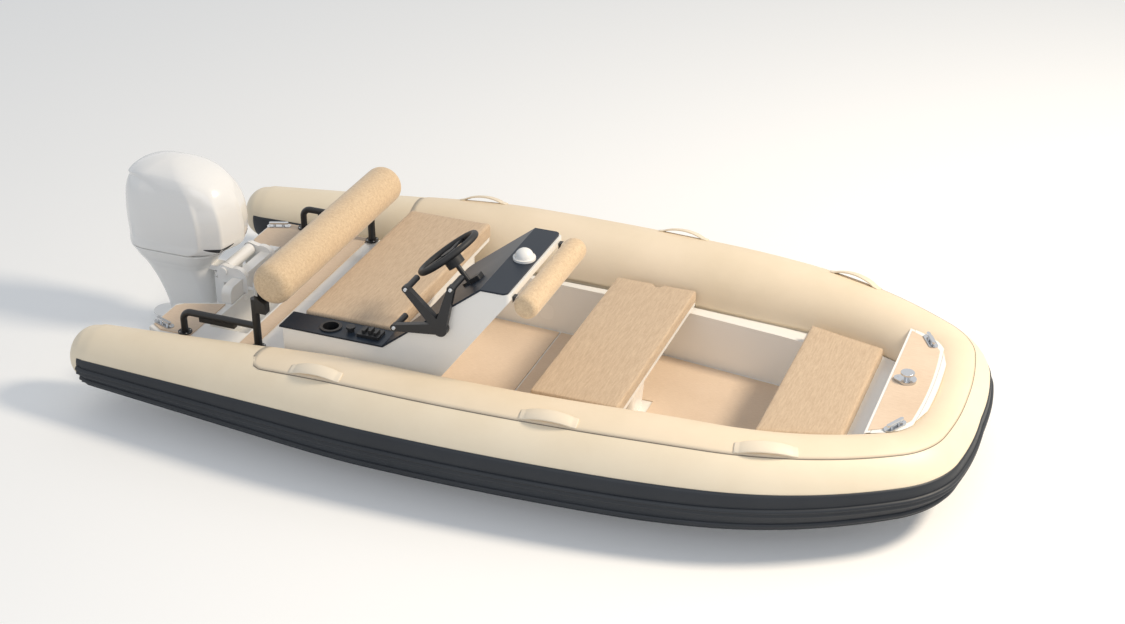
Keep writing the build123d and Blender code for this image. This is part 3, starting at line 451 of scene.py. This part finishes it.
def seam_shadow_outline(radius, i):
    low = patch_outline(radius, i)[0][0]
    start = low - math.degrees(seam_shadow_width / radius)
    return [(start, 0.0002), (start + (low - start) * 0.3, seam_shadow_height), (low, seam_shadow_height),
            (low, patch_root), (start, patch_root)]


seam_shadow = swept("painted_seam_shadow", [seam_shadow_outline], seam_shadow_fabric, patch_rings)
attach(seam_shadow, "boat")


# ---------------------------------------------------------------- lifting handles
# Three broad moulded straps a side, each a shallow arch whose squared ends are glued down on the patch
# just above its outer edge.

strap_rubber = coated_fabric("moulded cream strap", "F1E4CE", "E6D8C0", rough=0.5, bump=0.08)
handle_x = (-0.660, 0.377, 1.240)
handle_half, handle_foot, handle_rise = 0.100, 0.022, 0.021
handle_up = 0.030           # the strap's middle over the patch's outer edge
strap_width, strap_thickness = 0.050, 0.008
strap_steps = 56
end_round, strap_edge, edge_inset, strap_crown = 0.006, 0.0018, 0.003, 0.0008
port_runs = [0]
for a, b in zip(path, path[1:]):
    port_runs.append(port_runs[-1] + (b[0] - a[0]).length)


def on_tube(run, angle, lift, side):
    """Point on the port or starboard tube at a run from the stern, an angle round it and a height over it."""
    k = max(j for j in range(len(port_runs) - 1) if port_runs[j] <= run)
    share = (run - port_runs[k]) / (port_runs[k + 1] - port_runs[k])
    spot, heading, radius, height = (a + (b - a) * share for a, b in zip(path[k], path[k + 1]))
    turn = math.radians(angle)
    reach = (radius + lift) * math.cos(turn)
    return Vector((spot.x + math.sin(heading) * reach, side * (spot.y + math.cos(heading) * reach),
                   height + (radius + lift) * math.sin(turn)))


def handle(shape, x, side):
    """One strap, as rings of ten points across it from foot to foot."""
    k = next(j for j, row in enumerate(path) if row[0].x > x)
    centre, radius = port_runs[k], path[k][2]
    reach = handle_half + handle_foot
    rows = []
    for i in range(strap_steps + 1):
        u = -reach + 2 * reach * i / strap_steps
        to_end = reach - abs(u)
        low = patch_thickness + handle_rise * max(0, 1 - (abs(u) / handle_half) ** 2) ** 0.9
        end = min(1, to_end / end_round)
        half = strap_width / 2 * (0.9 + 0.1 * math.sqrt(max(0, 1 - (1 - end) ** 2)))
        thick = strap_thickness * (0.45 + 0.55 * min(1, to_end / handle_foot))
        inner = half - edge_inset
        section = ((-half, strap_edge), (-half, thick - strap_edge), (-inner, thick),
                   (0, thick + strap_crown), (inner, thick), (half, thick - strap_edge),
                   (half, strap_edge), (inner, 0), (0, 0), (-inner, 0))
        row = []
        for across, up in section:
            angle = patch_outer + math.degrees((across + handle_up) / radius)
            row.append(shape.verts.new(on_tube(centre + u, angle, low + up, side)))
        rows.append(row)
    bridge(shape, rows)


shape = bmesh.new()
for x in handle_x:
    for side in (1, -1):
        handle(shape, x, side)
handles = new_piece("strap_handles", shape, strap_rubber)
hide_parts("lifting_handles")
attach(handles, "boat")


# ---------------------------------------------------------------- moulded hull, liner and decks
# Glass-fibre mouldings with a white gelcoat face, polished at the factory: the vee hull, the cockpit liner
# with its ledge, the stern deck with its well, the bow deck, the seat bases and the console's body.

def gelcoat(name, colour, rough=0.2, coat=0.35, shine=0.5):
    """Sprayed polyester gelcoat: even colour, a smooth skin with a slight orange-peel ripple."""
    material, add, place = new_material(name)
    peel = noise(add, place, 240.0, 2.0)
    wave = noise(add, place, 5.0, 1.0)
    surface(add, {"Base Color": srgb(colour),
                  "Roughness": between(add, wave, rough, rough + 0.1),
                  "Normal": bumps(add, mixed(add, 0.75, peel, wave), 0.12, 0.0008),
                  "Specular IOR Level": shine, "Coat Weight": coat, "Coat Roughness": 0.08})
    return material


def dress(names, material):
    for name in names:
        for place in nodes[name].material_slots:
            place.material = material


white_gelcoat = gelcoat("white gelcoat", "F3F1EC")
dress(("hull", "cockpit_liner", "stern_deck", "transom", "helm_seat_base", "mid_seat_pedestal",
       "bow_seat_base", "bow_deck", "console_body", "helm_seat_lid", "mid_seat_board"), white_gelcoat)


# ---------------------------------------------------------------- foam decking
# Closed-cell foam sheet, 5 mm thick, brushed along the boat and stuck down with a margin of gelcoat round it.

def brushed_foam():
    material, add, place = new_material("brushed tan foam decking")
    brush = noise(add, stretched(add, place, (40.0, 620.0, 200.0)), 1.0, 4.0)
    cloud = noise(add, place, 3.0, 3.0)
    tone = mixed(add, 0.4, brush, cloud)
    surface(add, {"Base Color": two_tone(add, tone, (0.35, "D4BDA4"), (0.65, "E6D1BA")), "Roughness": 0.85,
                  "Normal": bumps(add, brush, 0.35, 0.0006)})
    return material


foam_decking = brushed_foam()
dress(("floor_pads", "stern_pads"), foam_decking)

# on the bow deck the white rim is narrow aft, wider along the sides and widest in front, so the sheet is
# cut smaller than its recess, whose floor round it is level with the rim
deck_low, deck_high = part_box("bow_deck_pad")
rim_top = 0.425
sheet_x, sheet_narrow = (1.605, 1.770), (0.965, 0.90)


def deck_layer(name, material, place):
    """A layer of the bow deck from the recess's own outline, each point moved by place()."""
    shape = bmesh.new()
    shape.from_mesh(nodes["bow_deck_pad"].data)
    for vert in shape.verts:
        vert.co = place(vert.co)
    layer = new_piece(name, shape, material, smooth=False)
    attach(layer, "boat")
    return layer


def on_sheet(co):
    share = (co.x - deck_low[0]) / (deck_high[0] - deck_low[0])
    narrow = sheet_narrow[0] + (sheet_narrow[1] - sheet_narrow[0]) * share
    return Vector((sheet_x[0] + (sheet_x[1] - sheet_x[0]) * share, co.y * narrow, co.z))


deck_layer("bow_deck_floor", white_gelcoat,
           lambda co: Vector((co.x, co.y, co.z - deck_high[2] + rim_top)))
deck_sheet = deck_layer("bow_deck_sheet", foam_decking, on_sheet)
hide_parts("bow_deck_pad")


# ---------------------------------------------------------------- seat cushions
# Flat slabs of firm foam in a tight cover of ribbed tan fabric, whose ribs run athwart the boat. The cover
# crowns the top by a few millimetres and rounds the edges.

def ribbed_cover():
    """Woven vinyl yarn: ribs about 7 mm apart along Y, with flecks along each rib."""
    material, add, place = new_material("ribbed tan seat fabric")
    rib = noise(add, stretched(add, place, (135.0, 15.0, 90.0)), 1.0, 2.5)
    fleck = noise(add, stretched(add, place, (420.0, 60.0, 420.0)), 1.0, 3.0)
    weave = mixed(add, 0.45, rib, fleck)
    surface(add, {"Base Color": two_tone(add, weave, (0.34, "BDA488"), (0.66, "D3BC9F")), "Roughness": 0.8,
                  "Normal": bumps(add, weave, 0.35, 0.001), "Sheen Weight": 0.15})
    return material


ribbed_fabric = ribbed_cover()
cloth_frames, cover_pressure = 20, 4.0


def evaluated_mesh(piece):
    depsgraph = bpy.context.evaluated_depsgraph_get()
    return bpy.data.meshes.new_from_object(piece.evaluated_get(depsgraph))


def blow_up(piece, cap):
    """Blows a closed cover up as cloth, with no point moving further than the cap."""
    even = piece.data
    start = [v.co.copy() for v in even.vertices]
    cloth = piece.modifiers.new("cover", "CLOTH")
    cloth.settings.quality = 4
    cloth.settings.use_pressure = True
    cloth.settings.uniform_pressure_force = cover_pressure
    cloth.settings.effector_weights.gravity = 0
    cloth.point_cache.frame_start, cloth.point_cache.frame_end = 1, cloth_frames
    for frame_number in range(1, cloth_frames + 1):
        bpy.context.scene.frame_set(frame_number)
    blown = evaluated_mesh(piece)
    piece.modifiers.clear()
    for vert, was, now in zip(even.vertices, start, blown.vertices):
        move = now.co - was
        if move.length > cap:
            move = move.normalized() * cap
        vert.co = was + move
    bpy.data.meshes.remove(blown)
    bpy.context.scene.frame_set(1)


def stuffed(name, node, material, voxel, grow, cap, levels=1):
    """Padded piece from a CAD solid, grown along each axis: an even grid, blown up, then subdivided."""
    shape = bmesh.new()
    shape.from_mesh(nodes[node].data)
    bmesh.ops.remove_doubles(shape, verts=shape.verts, dist=1e-5)
    low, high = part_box(node)
    middle = Vector([(a + b) / 2 for a, b in zip(low, high)])
    half = [max((b - a) / 2, 0.001) for a, b in zip(low, high)]
    for vert in shape.verts:
        for axis in range(3):
            stretch = (half[axis] + grow[axis]) / half[axis]
            vert.co[axis] = middle[axis] + (vert.co[axis] - middle[axis]) * stretch
    piece = new_piece(name, shape, material)
    grid = piece.modifiers.new("even grid", "REMESH")
    grid.mode = "VOXEL"
    grid.voxel_size = voxel
    grid.use_smooth_shade = True
    even = evaluated_mesh(piece)
    piece.modifiers.clear()
    piece.data = even
    blow_up(piece, cap)
    smooth = piece.modifiers.new("cover surface", "SUBSURF")
    smooth.levels = smooth.render_levels = levels
    final = evaluated_mesh(piece)
    piece.modifiers.clear()
    piece.data = final
    for polygon in final.polygons:
        polygon.use_smooth = True
    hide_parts(node)
    return piece


# name, CAD solid, body
for name, node, body in (("helm_cushion", "helm_seat_cushion", "seat_lid"),
                         ("mid_cushion", "mid_seat_cushion", "boat"),
                         ("bow_cushion", "bow_seat_cushion", "boat")):
    cushion = stuffed(name, node, ribbed_fabric, voxel=0.006, grow=(-0.002, -0.002, -0.002), cap=0.003,
                      levels=0)
    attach(cushion, body)


# ---------------------------------------------------------------- backrest roll and console bolster
# Foam cylinders in a fleecy tan cover with rounded ends, its pile mottled with painted shade. The roll is
# held by saddles on the rails, the bolster by two brackets on the console's front.

def fleece():
    """Looped-pile cover: tan loops, 3 to 8 mm across, lighter on top and darker between, a painted shade in
    the hollows.
    """
    material, add, place = new_material("tan fleece with painted shade in its pile")
    loops = noise(add, place, 260.0, 4.0, roughness=0.6)
    pile_and_shade = mixed(add, 0.4, loops, noise(add, place, 80.0, 3.0))
    # the pile's height also sets its colour: darker where the loops are low, a painted shade between them
    surface(add, {"Base Color": two_tone(add, pile_and_shade, (0.36, "CDB08C"), (0.62, "E6CDA9")), "Roughness": 0.95,
                  "Normal": bumps(add, pile_and_shade, 0.7, 0.003), "Sheen Weight": 0.3})
    return material


fleece_cover = fleece()
for name, node, grow, cap in (("backrest", "backrest_roll", (0, 0.016, 0), 0.006),
                              ("helm_bolster", "console_bolster", (-0.004, -0.003, -0.004), 0.004)):
    roll = stuffed(name, node, fleece_cover, voxel=0.008, grow=grow, cap=cap)
    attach(roll, "boat")


# ---------------------------------------------------------------- console top and dash
# A second moulding in black gelcoat laps over the white console like a lid: along the arm, up the slope
# and over the dash. It has a satin finish, so it stays dark under a bright sky.

black_gelcoat = gelcoat("satin black gelcoat", "1E2733", rough=0.3, coat=0, shine=0.25)
dress(("console_top",), black_gelcoat)


# ---------------------------------------------------------------- wheel, controls and compass
# The wheel's rim is skinned polyurethane foam over a steel core. The switches, lever base and cup holder
# are injection-moulded with a spark-eroded grain, and the compass has a white domed cover.

def moulded_plastic(name, colour, rough, grain=0.0014, bump=0.25):
    """Injection-moulded plastic: even colour, and a fine grain that breaks up the highlights."""
    material, add, place = new_material(name)
    pits = add("ShaderNodeTexVoronoi", {"Vector": place, "Scale": 1 / grain}).outputs["Distance"]
    cloud = noise(add, place, 28.0, 4.0)
    surface(add, {"Base Color": srgb(colour), "Roughness": between(add, cloud, rough - 0.06, rough + 0.08),
                  "Normal": bumps(add, pits, bump, 0.0004)})
    return material


black_plastic = moulded_plastic("grained black plastic", "1C1D20", rough=0.42)
rim_foam = moulded_plastic("black skinned foam", "1A1B1D", rough=0.55, grain=0.0022, bump=0.35)
white_plastic = moulded_plastic("white moulded plastic", "EFEEEA", rough=0.25, grain=0.003, bump=0.06)
dress(("arm_controls", "switch_box", "cup_holder"), black_plastic)
dress(("steering_wheel",), rim_foam)
dress(("compass",), white_plastic)


# ---------------------------------------------------------------- rails and brackets
# Bent aluminium tube and plate, powder-coated satin black after welding. The coat's orange peel shows as
# soft ripples in the highlights.

def powder_coat(name, colour, rough):
    material, add, place = new_material(name)
    peel = noise(add, place, 520.0, 2.0)
    wear = noise(add, place, 22.0, 5.0)
    surface(add, {"Base Color": srgb(colour), "Roughness": between(add, wear, rough - 0.07, rough + 0.1),
                  "Normal": bumps(add, peel, 0.22, 0.0005)})
    return material


black_powder = powder_coat("satin black powder coat", "1B1C1F", rough=0.36)
dress(("stern_rail_port", "stern_rail_starboard", "roll_brackets", "bolster_brackets", "hand_bracket",
       "steering_column"), black_powder)


# ---------------------------------------------------------------- cleats, bow fitting and their screws
# Cast stainless steel, ground and polished. Every plate and rail foot is held by button-head socket screws
# of the same steel, set by one node tree on a list of points.

def polished_steel():
    """Mirror steel, its reflection softened a little by fine polishing lines."""
    material, add, place = new_material("polished stainless steel")
    lines = noise(add, stretched(add, place, (60.0, 900.0, 900.0)), 1.0, 3.0)
    surface(add, {"Base Color": srgb("C9CBCE"), "Metallic": 1.0, "Roughness": between(add, lines, 0.1, 0.24)})
    return material


steel = polished_steel()
dress(("stern_cleats", "bow_cleats", "bow_fitting"), steel)


def button_head_tree(material):
    """Sets a low round screw head with a hexagon socket on each point, its axis along the point's way."""
    tree = bpy.data.node_groups.new("button-head screws", "GeometryNodeTree")
    sockets = tree.interface
    sockets.new_socket("Places", in_out="INPUT", socket_type="NodeSocketGeometry")
    for title, size in (("Head radius", 0.004), ("Head height", 0.002), ("Socket share", 0.55)):
        sockets.new_socket(title, in_out="INPUT", socket_type="NodeSocketFloat").default_value = size
    sockets.new_socket("Screws", in_out="OUTPUT", socket_type="NodeSocketGeometry")
    add = node_maker(tree)
    given = add("NodeGroupInput")
    crown = add("ShaderNodeMath", {0: given.outputs["Head radius"], 1: 0.72}, operation="MULTIPLY")
    head = add("GeometryNodeMeshCone", {"Vertices": 18, "Radius Top": crown.outputs[0],
                                        "Radius Bottom": given.outputs["Head radius"],
                                        "Depth": given.outputs["Head height"]})
    normal = add("GeometryNodeInputNormal")
    upright = add("ShaderNodeSeparateXYZ", {0: normal.outputs[0]})
    top = add("FunctionNodeCompare", {0: upright.outputs["Z"], 1: 0.9}, operation="GREATER_THAN")
    rim = add("GeometryNodeExtrudeMesh", {"Mesh": head.outputs["Mesh"], "Selection": top.outputs[0],
                                          "Offset Scale": 0.0, "Individual": False})
    narrow = add("GeometryNodeScaleElements", {"Geometry": rim.outputs["Mesh"],
                                               "Selection": rim.outputs["Top"],
                                               "Scale": given.outputs["Socket share"]})
    sink = add("ShaderNodeMath", {0: given.outputs["Head height"], 1: -0.7}, operation="MULTIPLY")
    socket = add("GeometryNodeExtrudeMesh", {"Mesh": narrow.outputs[0], "Selection": rim.outputs["Top"],
                                             "Offset Scale": sink.outputs[0], "Individual": False})
    way = add("GeometryNodeInputNamedAttribute", {"Name": "way"}, data_type="FLOAT_VECTOR")
    turn = add("FunctionNodeAlignRotationToVector", {"Vector": way.outputs[0]}, axis="Z")
    spread = add("GeometryNodeInstanceOnPoints", {"Points": given.outputs["Places"],
                                                  "Instance": socket.outputs["Mesh"],
                                                  "Rotation": turn.outputs[0]})
    real = add("GeometryNodeRealizeInstances", {"Geometry": spread.outputs[0]})
    flat = add("GeometryNodeSetShadeSmooth", {"Geometry": real.outputs[0], "Shade Smooth": False})
    painted = add("GeometryNodeSetMaterial", {"Geometry": flat.outputs[0], "Material": material})
    add("NodeGroupOutput", {"Screws": painted.outputs[0]})
    return tree


screw_tree = button_head_tree(steel)


def screws(name, places, radius, height):
    """Plain mesh of screws at (point, way) places."""
    mesh = bpy.data.meshes.new(name)
    mesh.from_pydata([point for point, _ in places], [], [])
    ways = mesh.attributes.new("way", "FLOAT_VECTOR", "POINT")
    ways.data.foreach_set("vector", [c for _, way in places for c in way])
    piece = bpy.data.objects.new(name, mesh)
    bpy.context.scene.collection.objects.link(piece)
    maker = piece.modifiers.new("screws", "NODES")
    maker.node_group = screw_tree
    sizes = {"Head radius": radius, "Head height": height}
    for item in screw_tree.interface.items_tree:
        if item.in_out == "INPUT" and item.name in sizes:
            maker[item.identifier] = sizes[item.name]
    made = evaluated_mesh(piece)
    piece.modifiers.clear()
    piece.data = made
    return piece


up = (0, 0, 1)
plate_reach = 0.048         # from a cleat's middle to its screws
fitting_top = 0.4396
rail_y, flange_top = 0.568, 0.3176
bracket_side = -0.682
plate_screws = []
# cleat's middle, turn in degrees, top of the plate
for x, y, turn, top in ((-1.633, 0.538, 20, 0.3156), (1.700, 0.367, -62, 0.4316)):
    for side in (1, -1):
        for reach in (plate_reach, -plate_reach):
            a = math.radians(turn)
            plate_screws.append(((x + reach * math.cos(a), side * (y + reach * math.sin(a)), top), up))
plate_screws += [((x, y, fitting_top), up) for x, y in ((1.632, 0), (1.672, 0.033), (1.672, -0.033))]
flange_screws = []
# rail's foot, radius of its ring of screws
for x, ring in ((-1.504, 0.0245), (-1.124, 0.0255)):
    for side in (1, -1):
        for k in range(4):
            a = math.radians(45 + 90 * k)
            spot = (x + ring * math.cos(a), side * rail_y + ring * math.sin(a), flange_top)
            flange_screws.append((spot, up))
bracket_screws = [((x, bracket_side, z), (0, -1, 0))
                  for x, z in ((-0.322, 0.818), (-0.116, 0.856), (-0.385, 0.622))]
# name, places, head radius, head height
for name, places, radius, height in (("plate_screws", plate_screws, 0.0042, 0.0018),
                                     ("flange_screws", flange_screws, 0.0038, 0.0024),
                                     ("bracket_screws", bracket_screws, 0.0095, 0.005)):
    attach(screws(name, places, radius, height), "boat")


# ---------------------------------------------------------------- outboard motor
# The cowl is one moulded shell in white marine enamel with a raised cap: its edge runs forward along the
# top of each side and turns down the front corner, and a bevel falls from it to the flatter side panel.

def marine_enamel(name, colour, rough=0.16):
    """Sprayed two-part enamel under a clear coat: even, bright and wet-looking, with a faint orange peel."""
    material, add, place = new_material(name)
    peel = noise(add, place, 330.0, 2.0)
    haze = noise(add, place, 7.0, 3.0)
    surface(add, {"Base Color": srgb(colour), "Roughness": between(add, haze, rough, rough + 0.1),
                  "Normal": bumps(add, peel, 0.08, 0.0005), "Coat Weight": 0.5, "Coat Roughness": 0.06})
    return material


white_enamel = marine_enamel("white marine enamel", "F1F0ED")
dress(("engine_leg", "clamp_bracket", "swivel_bracket", "propeller", "cowl", "powerhead"), white_enamel)

# plan sections: height, aft end, front end, half width
cowl_sections = ((0.4540, -2.097, -1.613, 0.149), (0.4575, -2.107, -1.596, 0.159),
                 (0.470, -2.110, -1.562, 0.164), (0.500, -2.114, -1.524, 0.170),
                 (0.550, -2.116, -1.515, 0.174), (0.600, -2.117, -1.514, 0.176),
                 (0.660, -2.115, -1.521, 0.1755), (0.705, -2.111, -1.534, 0.173),
                 (0.745, -2.104, -1.553, 0.167), (0.780, -2.092, -1.578, 0.158),
                 (0.815, -2.070, -1.616, 0.143), (0.840, -2.043, -1.655, 0.127),
                 (0.862, -2.003, -1.704, 0.102), (0.880, -1.948, -1.761, 0.070),
                 (0.890, -1.896, -1.812, 0.036), (0.8925, -1.865, -1.843, 0.010))
leg_sections = ((-0.058, -1.944, -1.708, 0.038), (0.020, -1.946, -1.706, 0.041),
                (0.120, -1.952, -1.704, 0.048), (0.230, -1.990, -1.702, 0.060),
                (0.300, -2.022, -1.700, 0.078), (0.345, -2.046, -1.693, 0.097),
                (0.400, -2.078, -1.650, 0.132), (0.440, -2.099, -1.614, 0.152),
                (0.4475, -2.102, -1.609, 0.154), (0.4510, -2.094, -1.617, 0.146))
# edges of the cap and of the side panel, seen from the side: x, z
cap_edge = ((-2.150, 0.785), (-2.100, 0.800), (-1.980, 0.838), (-1.907, 0.846), (-1.818, 0.841),
            (-1.713, 0.829), (-1.640, 0.806), (-1.610, 0.790), (-1.594, 0.770), (-1.577, 0.722),
            (-1.558, 0.621), (-1.553, 0.509), (-1.553, 0.430))
panel_edge = ((-2.150, 0.783), (-2.098, 0.797), (-1.990, 0.818), (-1.923, 0.803), (-1.859, 0.770),
              (-1.816, 0.753), (-1.772, 0.745), (-1.690, 0.733), (-1.665, 0.724), (-1.654, 0.706),
              (-1.643, 0.629), (-1.646, 0.479), (-1.648, 0.430))
cap_lift, panel_sink = 0.004, 0.011
cowl_steps, leg_steps = 7, 6        # rows between two sections
corner_share = 0.92         # corner radius as a share of the half width
facet_turns = (0, 42, 84)   # degrees off straight ahead: the front face, the cap's edge, the bevel's aft edge
facet_top, facet_fade = 0.80, 0.10
crown_top, crown_fade = 0.885, 0.03
foot_fade = 0.05
# finger recess under the cap's aft edge
recess_fore, recess_low, recess_high, recess_half = -2.05, 0.735, 0.795, 0.075
recess_depth, recess_edge, recess_soft = 0.016, 0.004, 0.02


def smooth_sections(sections, steps):
    """Catmull-Rom rows through the sections."""
    rows = []
    for i in range(len(sections) - 1):
        before, a, b, after = (sections[max(0, min(len(sections) - 1, j))] for j in (i - 1, i, i + 1, i + 2))
        for k in range(steps):
            t = k / steps
            rows.append(tuple(0.5 * (2 * p1 + (p2 - p0) * t + (2 * p0 - 5 * p1 + 4 * p2 - p3) * t * t
                                     + (3 * p1 - p0 - 3 * p2 + p3) * t ** 3)
                              for p0, p1, p2, p3 in zip(before, a, b, after)))
    return rows + [sections[-1]]


def plan_ring(aft, fore, half, corner, arc_steps=30, side_steps=46, end_steps=6):
    """Points and outward directions round a rounded plan, starting on the starboard side, forward."""
    arcs = []
    # corner centre, first angle, steps along the straight that follows
    for x, y, first, straight in ((fore - corner, -half + corner, -90, end_steps),
                                  (fore - corner, half - corner, 0, side_steps),
                                  (aft + corner, half - corner, 90, end_steps),
                                  (aft + corner, -half + corner, 180, side_steps)):
        arc = []
        for k in range(arc_steps + 1):
            turn = math.radians(first + 90 * k / arc_steps)
            arc.append((Vector((x + corner * math.cos(turn), y + corner * math.sin(turn))),
                        Vector((math.cos(turn), math.sin(turn)))))
        arcs.append((arc, straight))
    ring = []
    for i, (arc, straight) in enumerate(arcs):
        (last, out), (after, _) = arc[-1], arcs[(i + 1) % len(arcs)][0][0]
        ring += arc + [(last.lerp(after, k / straight), out) for k in range(1, straight)]
    return ring


def beyond(edge, x, z):
    """Signed distance from an edge line listed from the stern: positive below and behind it."""
    best, sign = 9, 1
    spot = Vector((x, z))
    for a, b in zip(edge, edge[1:]):
        a, b = Vector(a), Vector(b)
        run = b - a
        share = max(0, min(1, (spot - a).dot(run) / run.length_squared))
        gap = spot - (a + run * share)
        if gap.length < best:
            best = gap.length
            sign = -1 if run.x * gap.y - run.y * gap.x > 0 else 1
    return best * sign


def cowl_relief(x, y, z):
    """How far the shell stands out: the cap is proud, the side panel sunk and a bevel lies between."""
    past_cap, past_panel = beyond(cap_edge, x, z), beyond(panel_edge, x, z)
    if past_cap <= 0:
        share = 0
    elif past_panel >= 0:
        share = 1
    else:
        share = past_cap / (past_cap - past_panel)
    lift = cap_lift - (cap_lift + panel_sink) * share
    if x < recess_fore and recess_low < z < recess_high:
        deep = min(1, (recess_high - z) / recess_edge, (z - recess_low) / recess_soft)
        lift -= recess_depth * deep * max(0, min(1, (recess_half - abs(y)) / recess_soft))
    return lift


def corner_facet(out, corner, z):
    """The round front corner flattened into a front face and a bevel, which meet on the cap's edge."""
    turn = math.degrees(math.atan2(abs(out.y), out.x))
    fade = min(1, max(0, (facet_top - z) / facet_fade))
    for low, high in zip(facet_turns, facet_turns[1:]):
        if low <= turn < high:
            off = math.radians(turn - (low + high) / 2)
            return fade * corner * (math.cos(math.radians(high - low) / 2) / math.cos(off) - 1)
    return 0


def shell_lift(spot, out, corner, z):
    """How far the cowl's skin stands off its plain plan ring."""
    crown = min(1, max(0, (crown_top - z) / crown_fade))
    foot = min(1, max(0, (z - cowl_sections[0][0]) / foot_fade))
    return cowl_relief(spot.x, spot.y, z) * crown * foot + corner_facet(out, corner, z)


def lofted(name, sections, material, lift_at=None):
    """A shell through plan sections, each point moved outwards by lift_at()."""
    shape = bmesh.new()
    rows = []
    for z, aft, fore, half in sections:
        corner = min(half, (fore - aft) / 2) * corner_share
        row = []
        for spot, out in plan_ring(aft, fore, half, corner):
            lift = lift_at(spot, out, corner, z) if lift_at else 0
            row.append(shape.verts.new((spot.x + out.x * lift, spot.y + out.y * lift, z)))
        rows.append(row)
    bridge(shape, rows)
    return new_piece(name, shape, material)


cowl_rows = smooth_sections(cowl_sections, cowl_steps)
cowl = lofted("motor_cowl", cowl_rows, white_enamel, shell_lift)
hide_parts("cowl")
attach(cowl, "motor")

leg_skin = 0.0022           # the shell lies just over the leg
leg_rows = smooth_sections([(z, aft - leg_skin, fore + leg_skin, half + leg_skin)
                            for z, aft, fore, half in leg_sections], leg_steps)
leg = lofted("leg_shell", leg_rows, white_enamel)
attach(leg, "motor")


# ---------------------------------------------------------------- cowl vents
# A crescent-shaped air inlet on each front corner of the cowl, filled by a black moulding that stands 2 mm
# proud. Its black is painted shade, standing for the shadow inside the inlet's opening. Its upper edge is
# nearly straight, and it is deepest on the cap's edge.

vent_steps = 29             # one of them falls on the cap's edge
vent_turns = (74, 16)       # degrees off straight ahead
vent_z, vent_rise, vent_belly = 0.504, 0.012, 0.022
vent_peak = 0.54            # share of its length where it is deepest
vent_proud, vent_root = 0.002, -0.006


def cowl_at(angle, z, lift, side):
    """Point on the cowl's front corner at an angle off straight ahead, on one side."""
    a, b = next((a, b) for a, b in zip(cowl_rows, cowl_rows[1:]) if a[0] <= z <= b[0])
    share = (z - a[0]) / (b[0] - a[0])
    fore, half = (p + (q - p) * share for p, q in zip(a[2:], b[2:]))
    corner = half * corner_share
    turn = math.radians(angle)
    out = Vector((math.cos(turn), math.sin(turn)))
    spot = Vector((fore - corner, half - corner)) + out * corner
    spot += out * (shell_lift(spot, out, corner, z) + lift)
    return (spot.x, side * spot.y, z)


def vent(shape, side):
    """Crescent laid on the cowl's skin, from its side round the corner to its front."""
    rows = []
    for i in range(vent_steps + 1):
        s = i / vent_steps
        angle = vent_turns[0] + (vent_turns[1] - vent_turns[0]) * s
        z = vent_z + vent_rise * s * s
        low = z - 0.0008 - vent_belly * min(s / vent_peak, (1 - s) / (1 - vent_peak)) ** 0.8
        rows.append([shape.verts.new(cowl_at(angle, height, lift, side))
                     for height, lift in ((z, vent_proud), (low, vent_proud), (low, vent_root),
                                          (z, vent_root))])
    bridge(shape, rows)


shape = bmesh.new()
for side in (1, -1):
    vent(shape, side)
# the black fill paints the shade inside each inlet
vent_shade_fills = new_piece("cowl_vent_painted_shade", shape, black_plastic, smooth=False)
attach(vent_shade_fills, "motor")
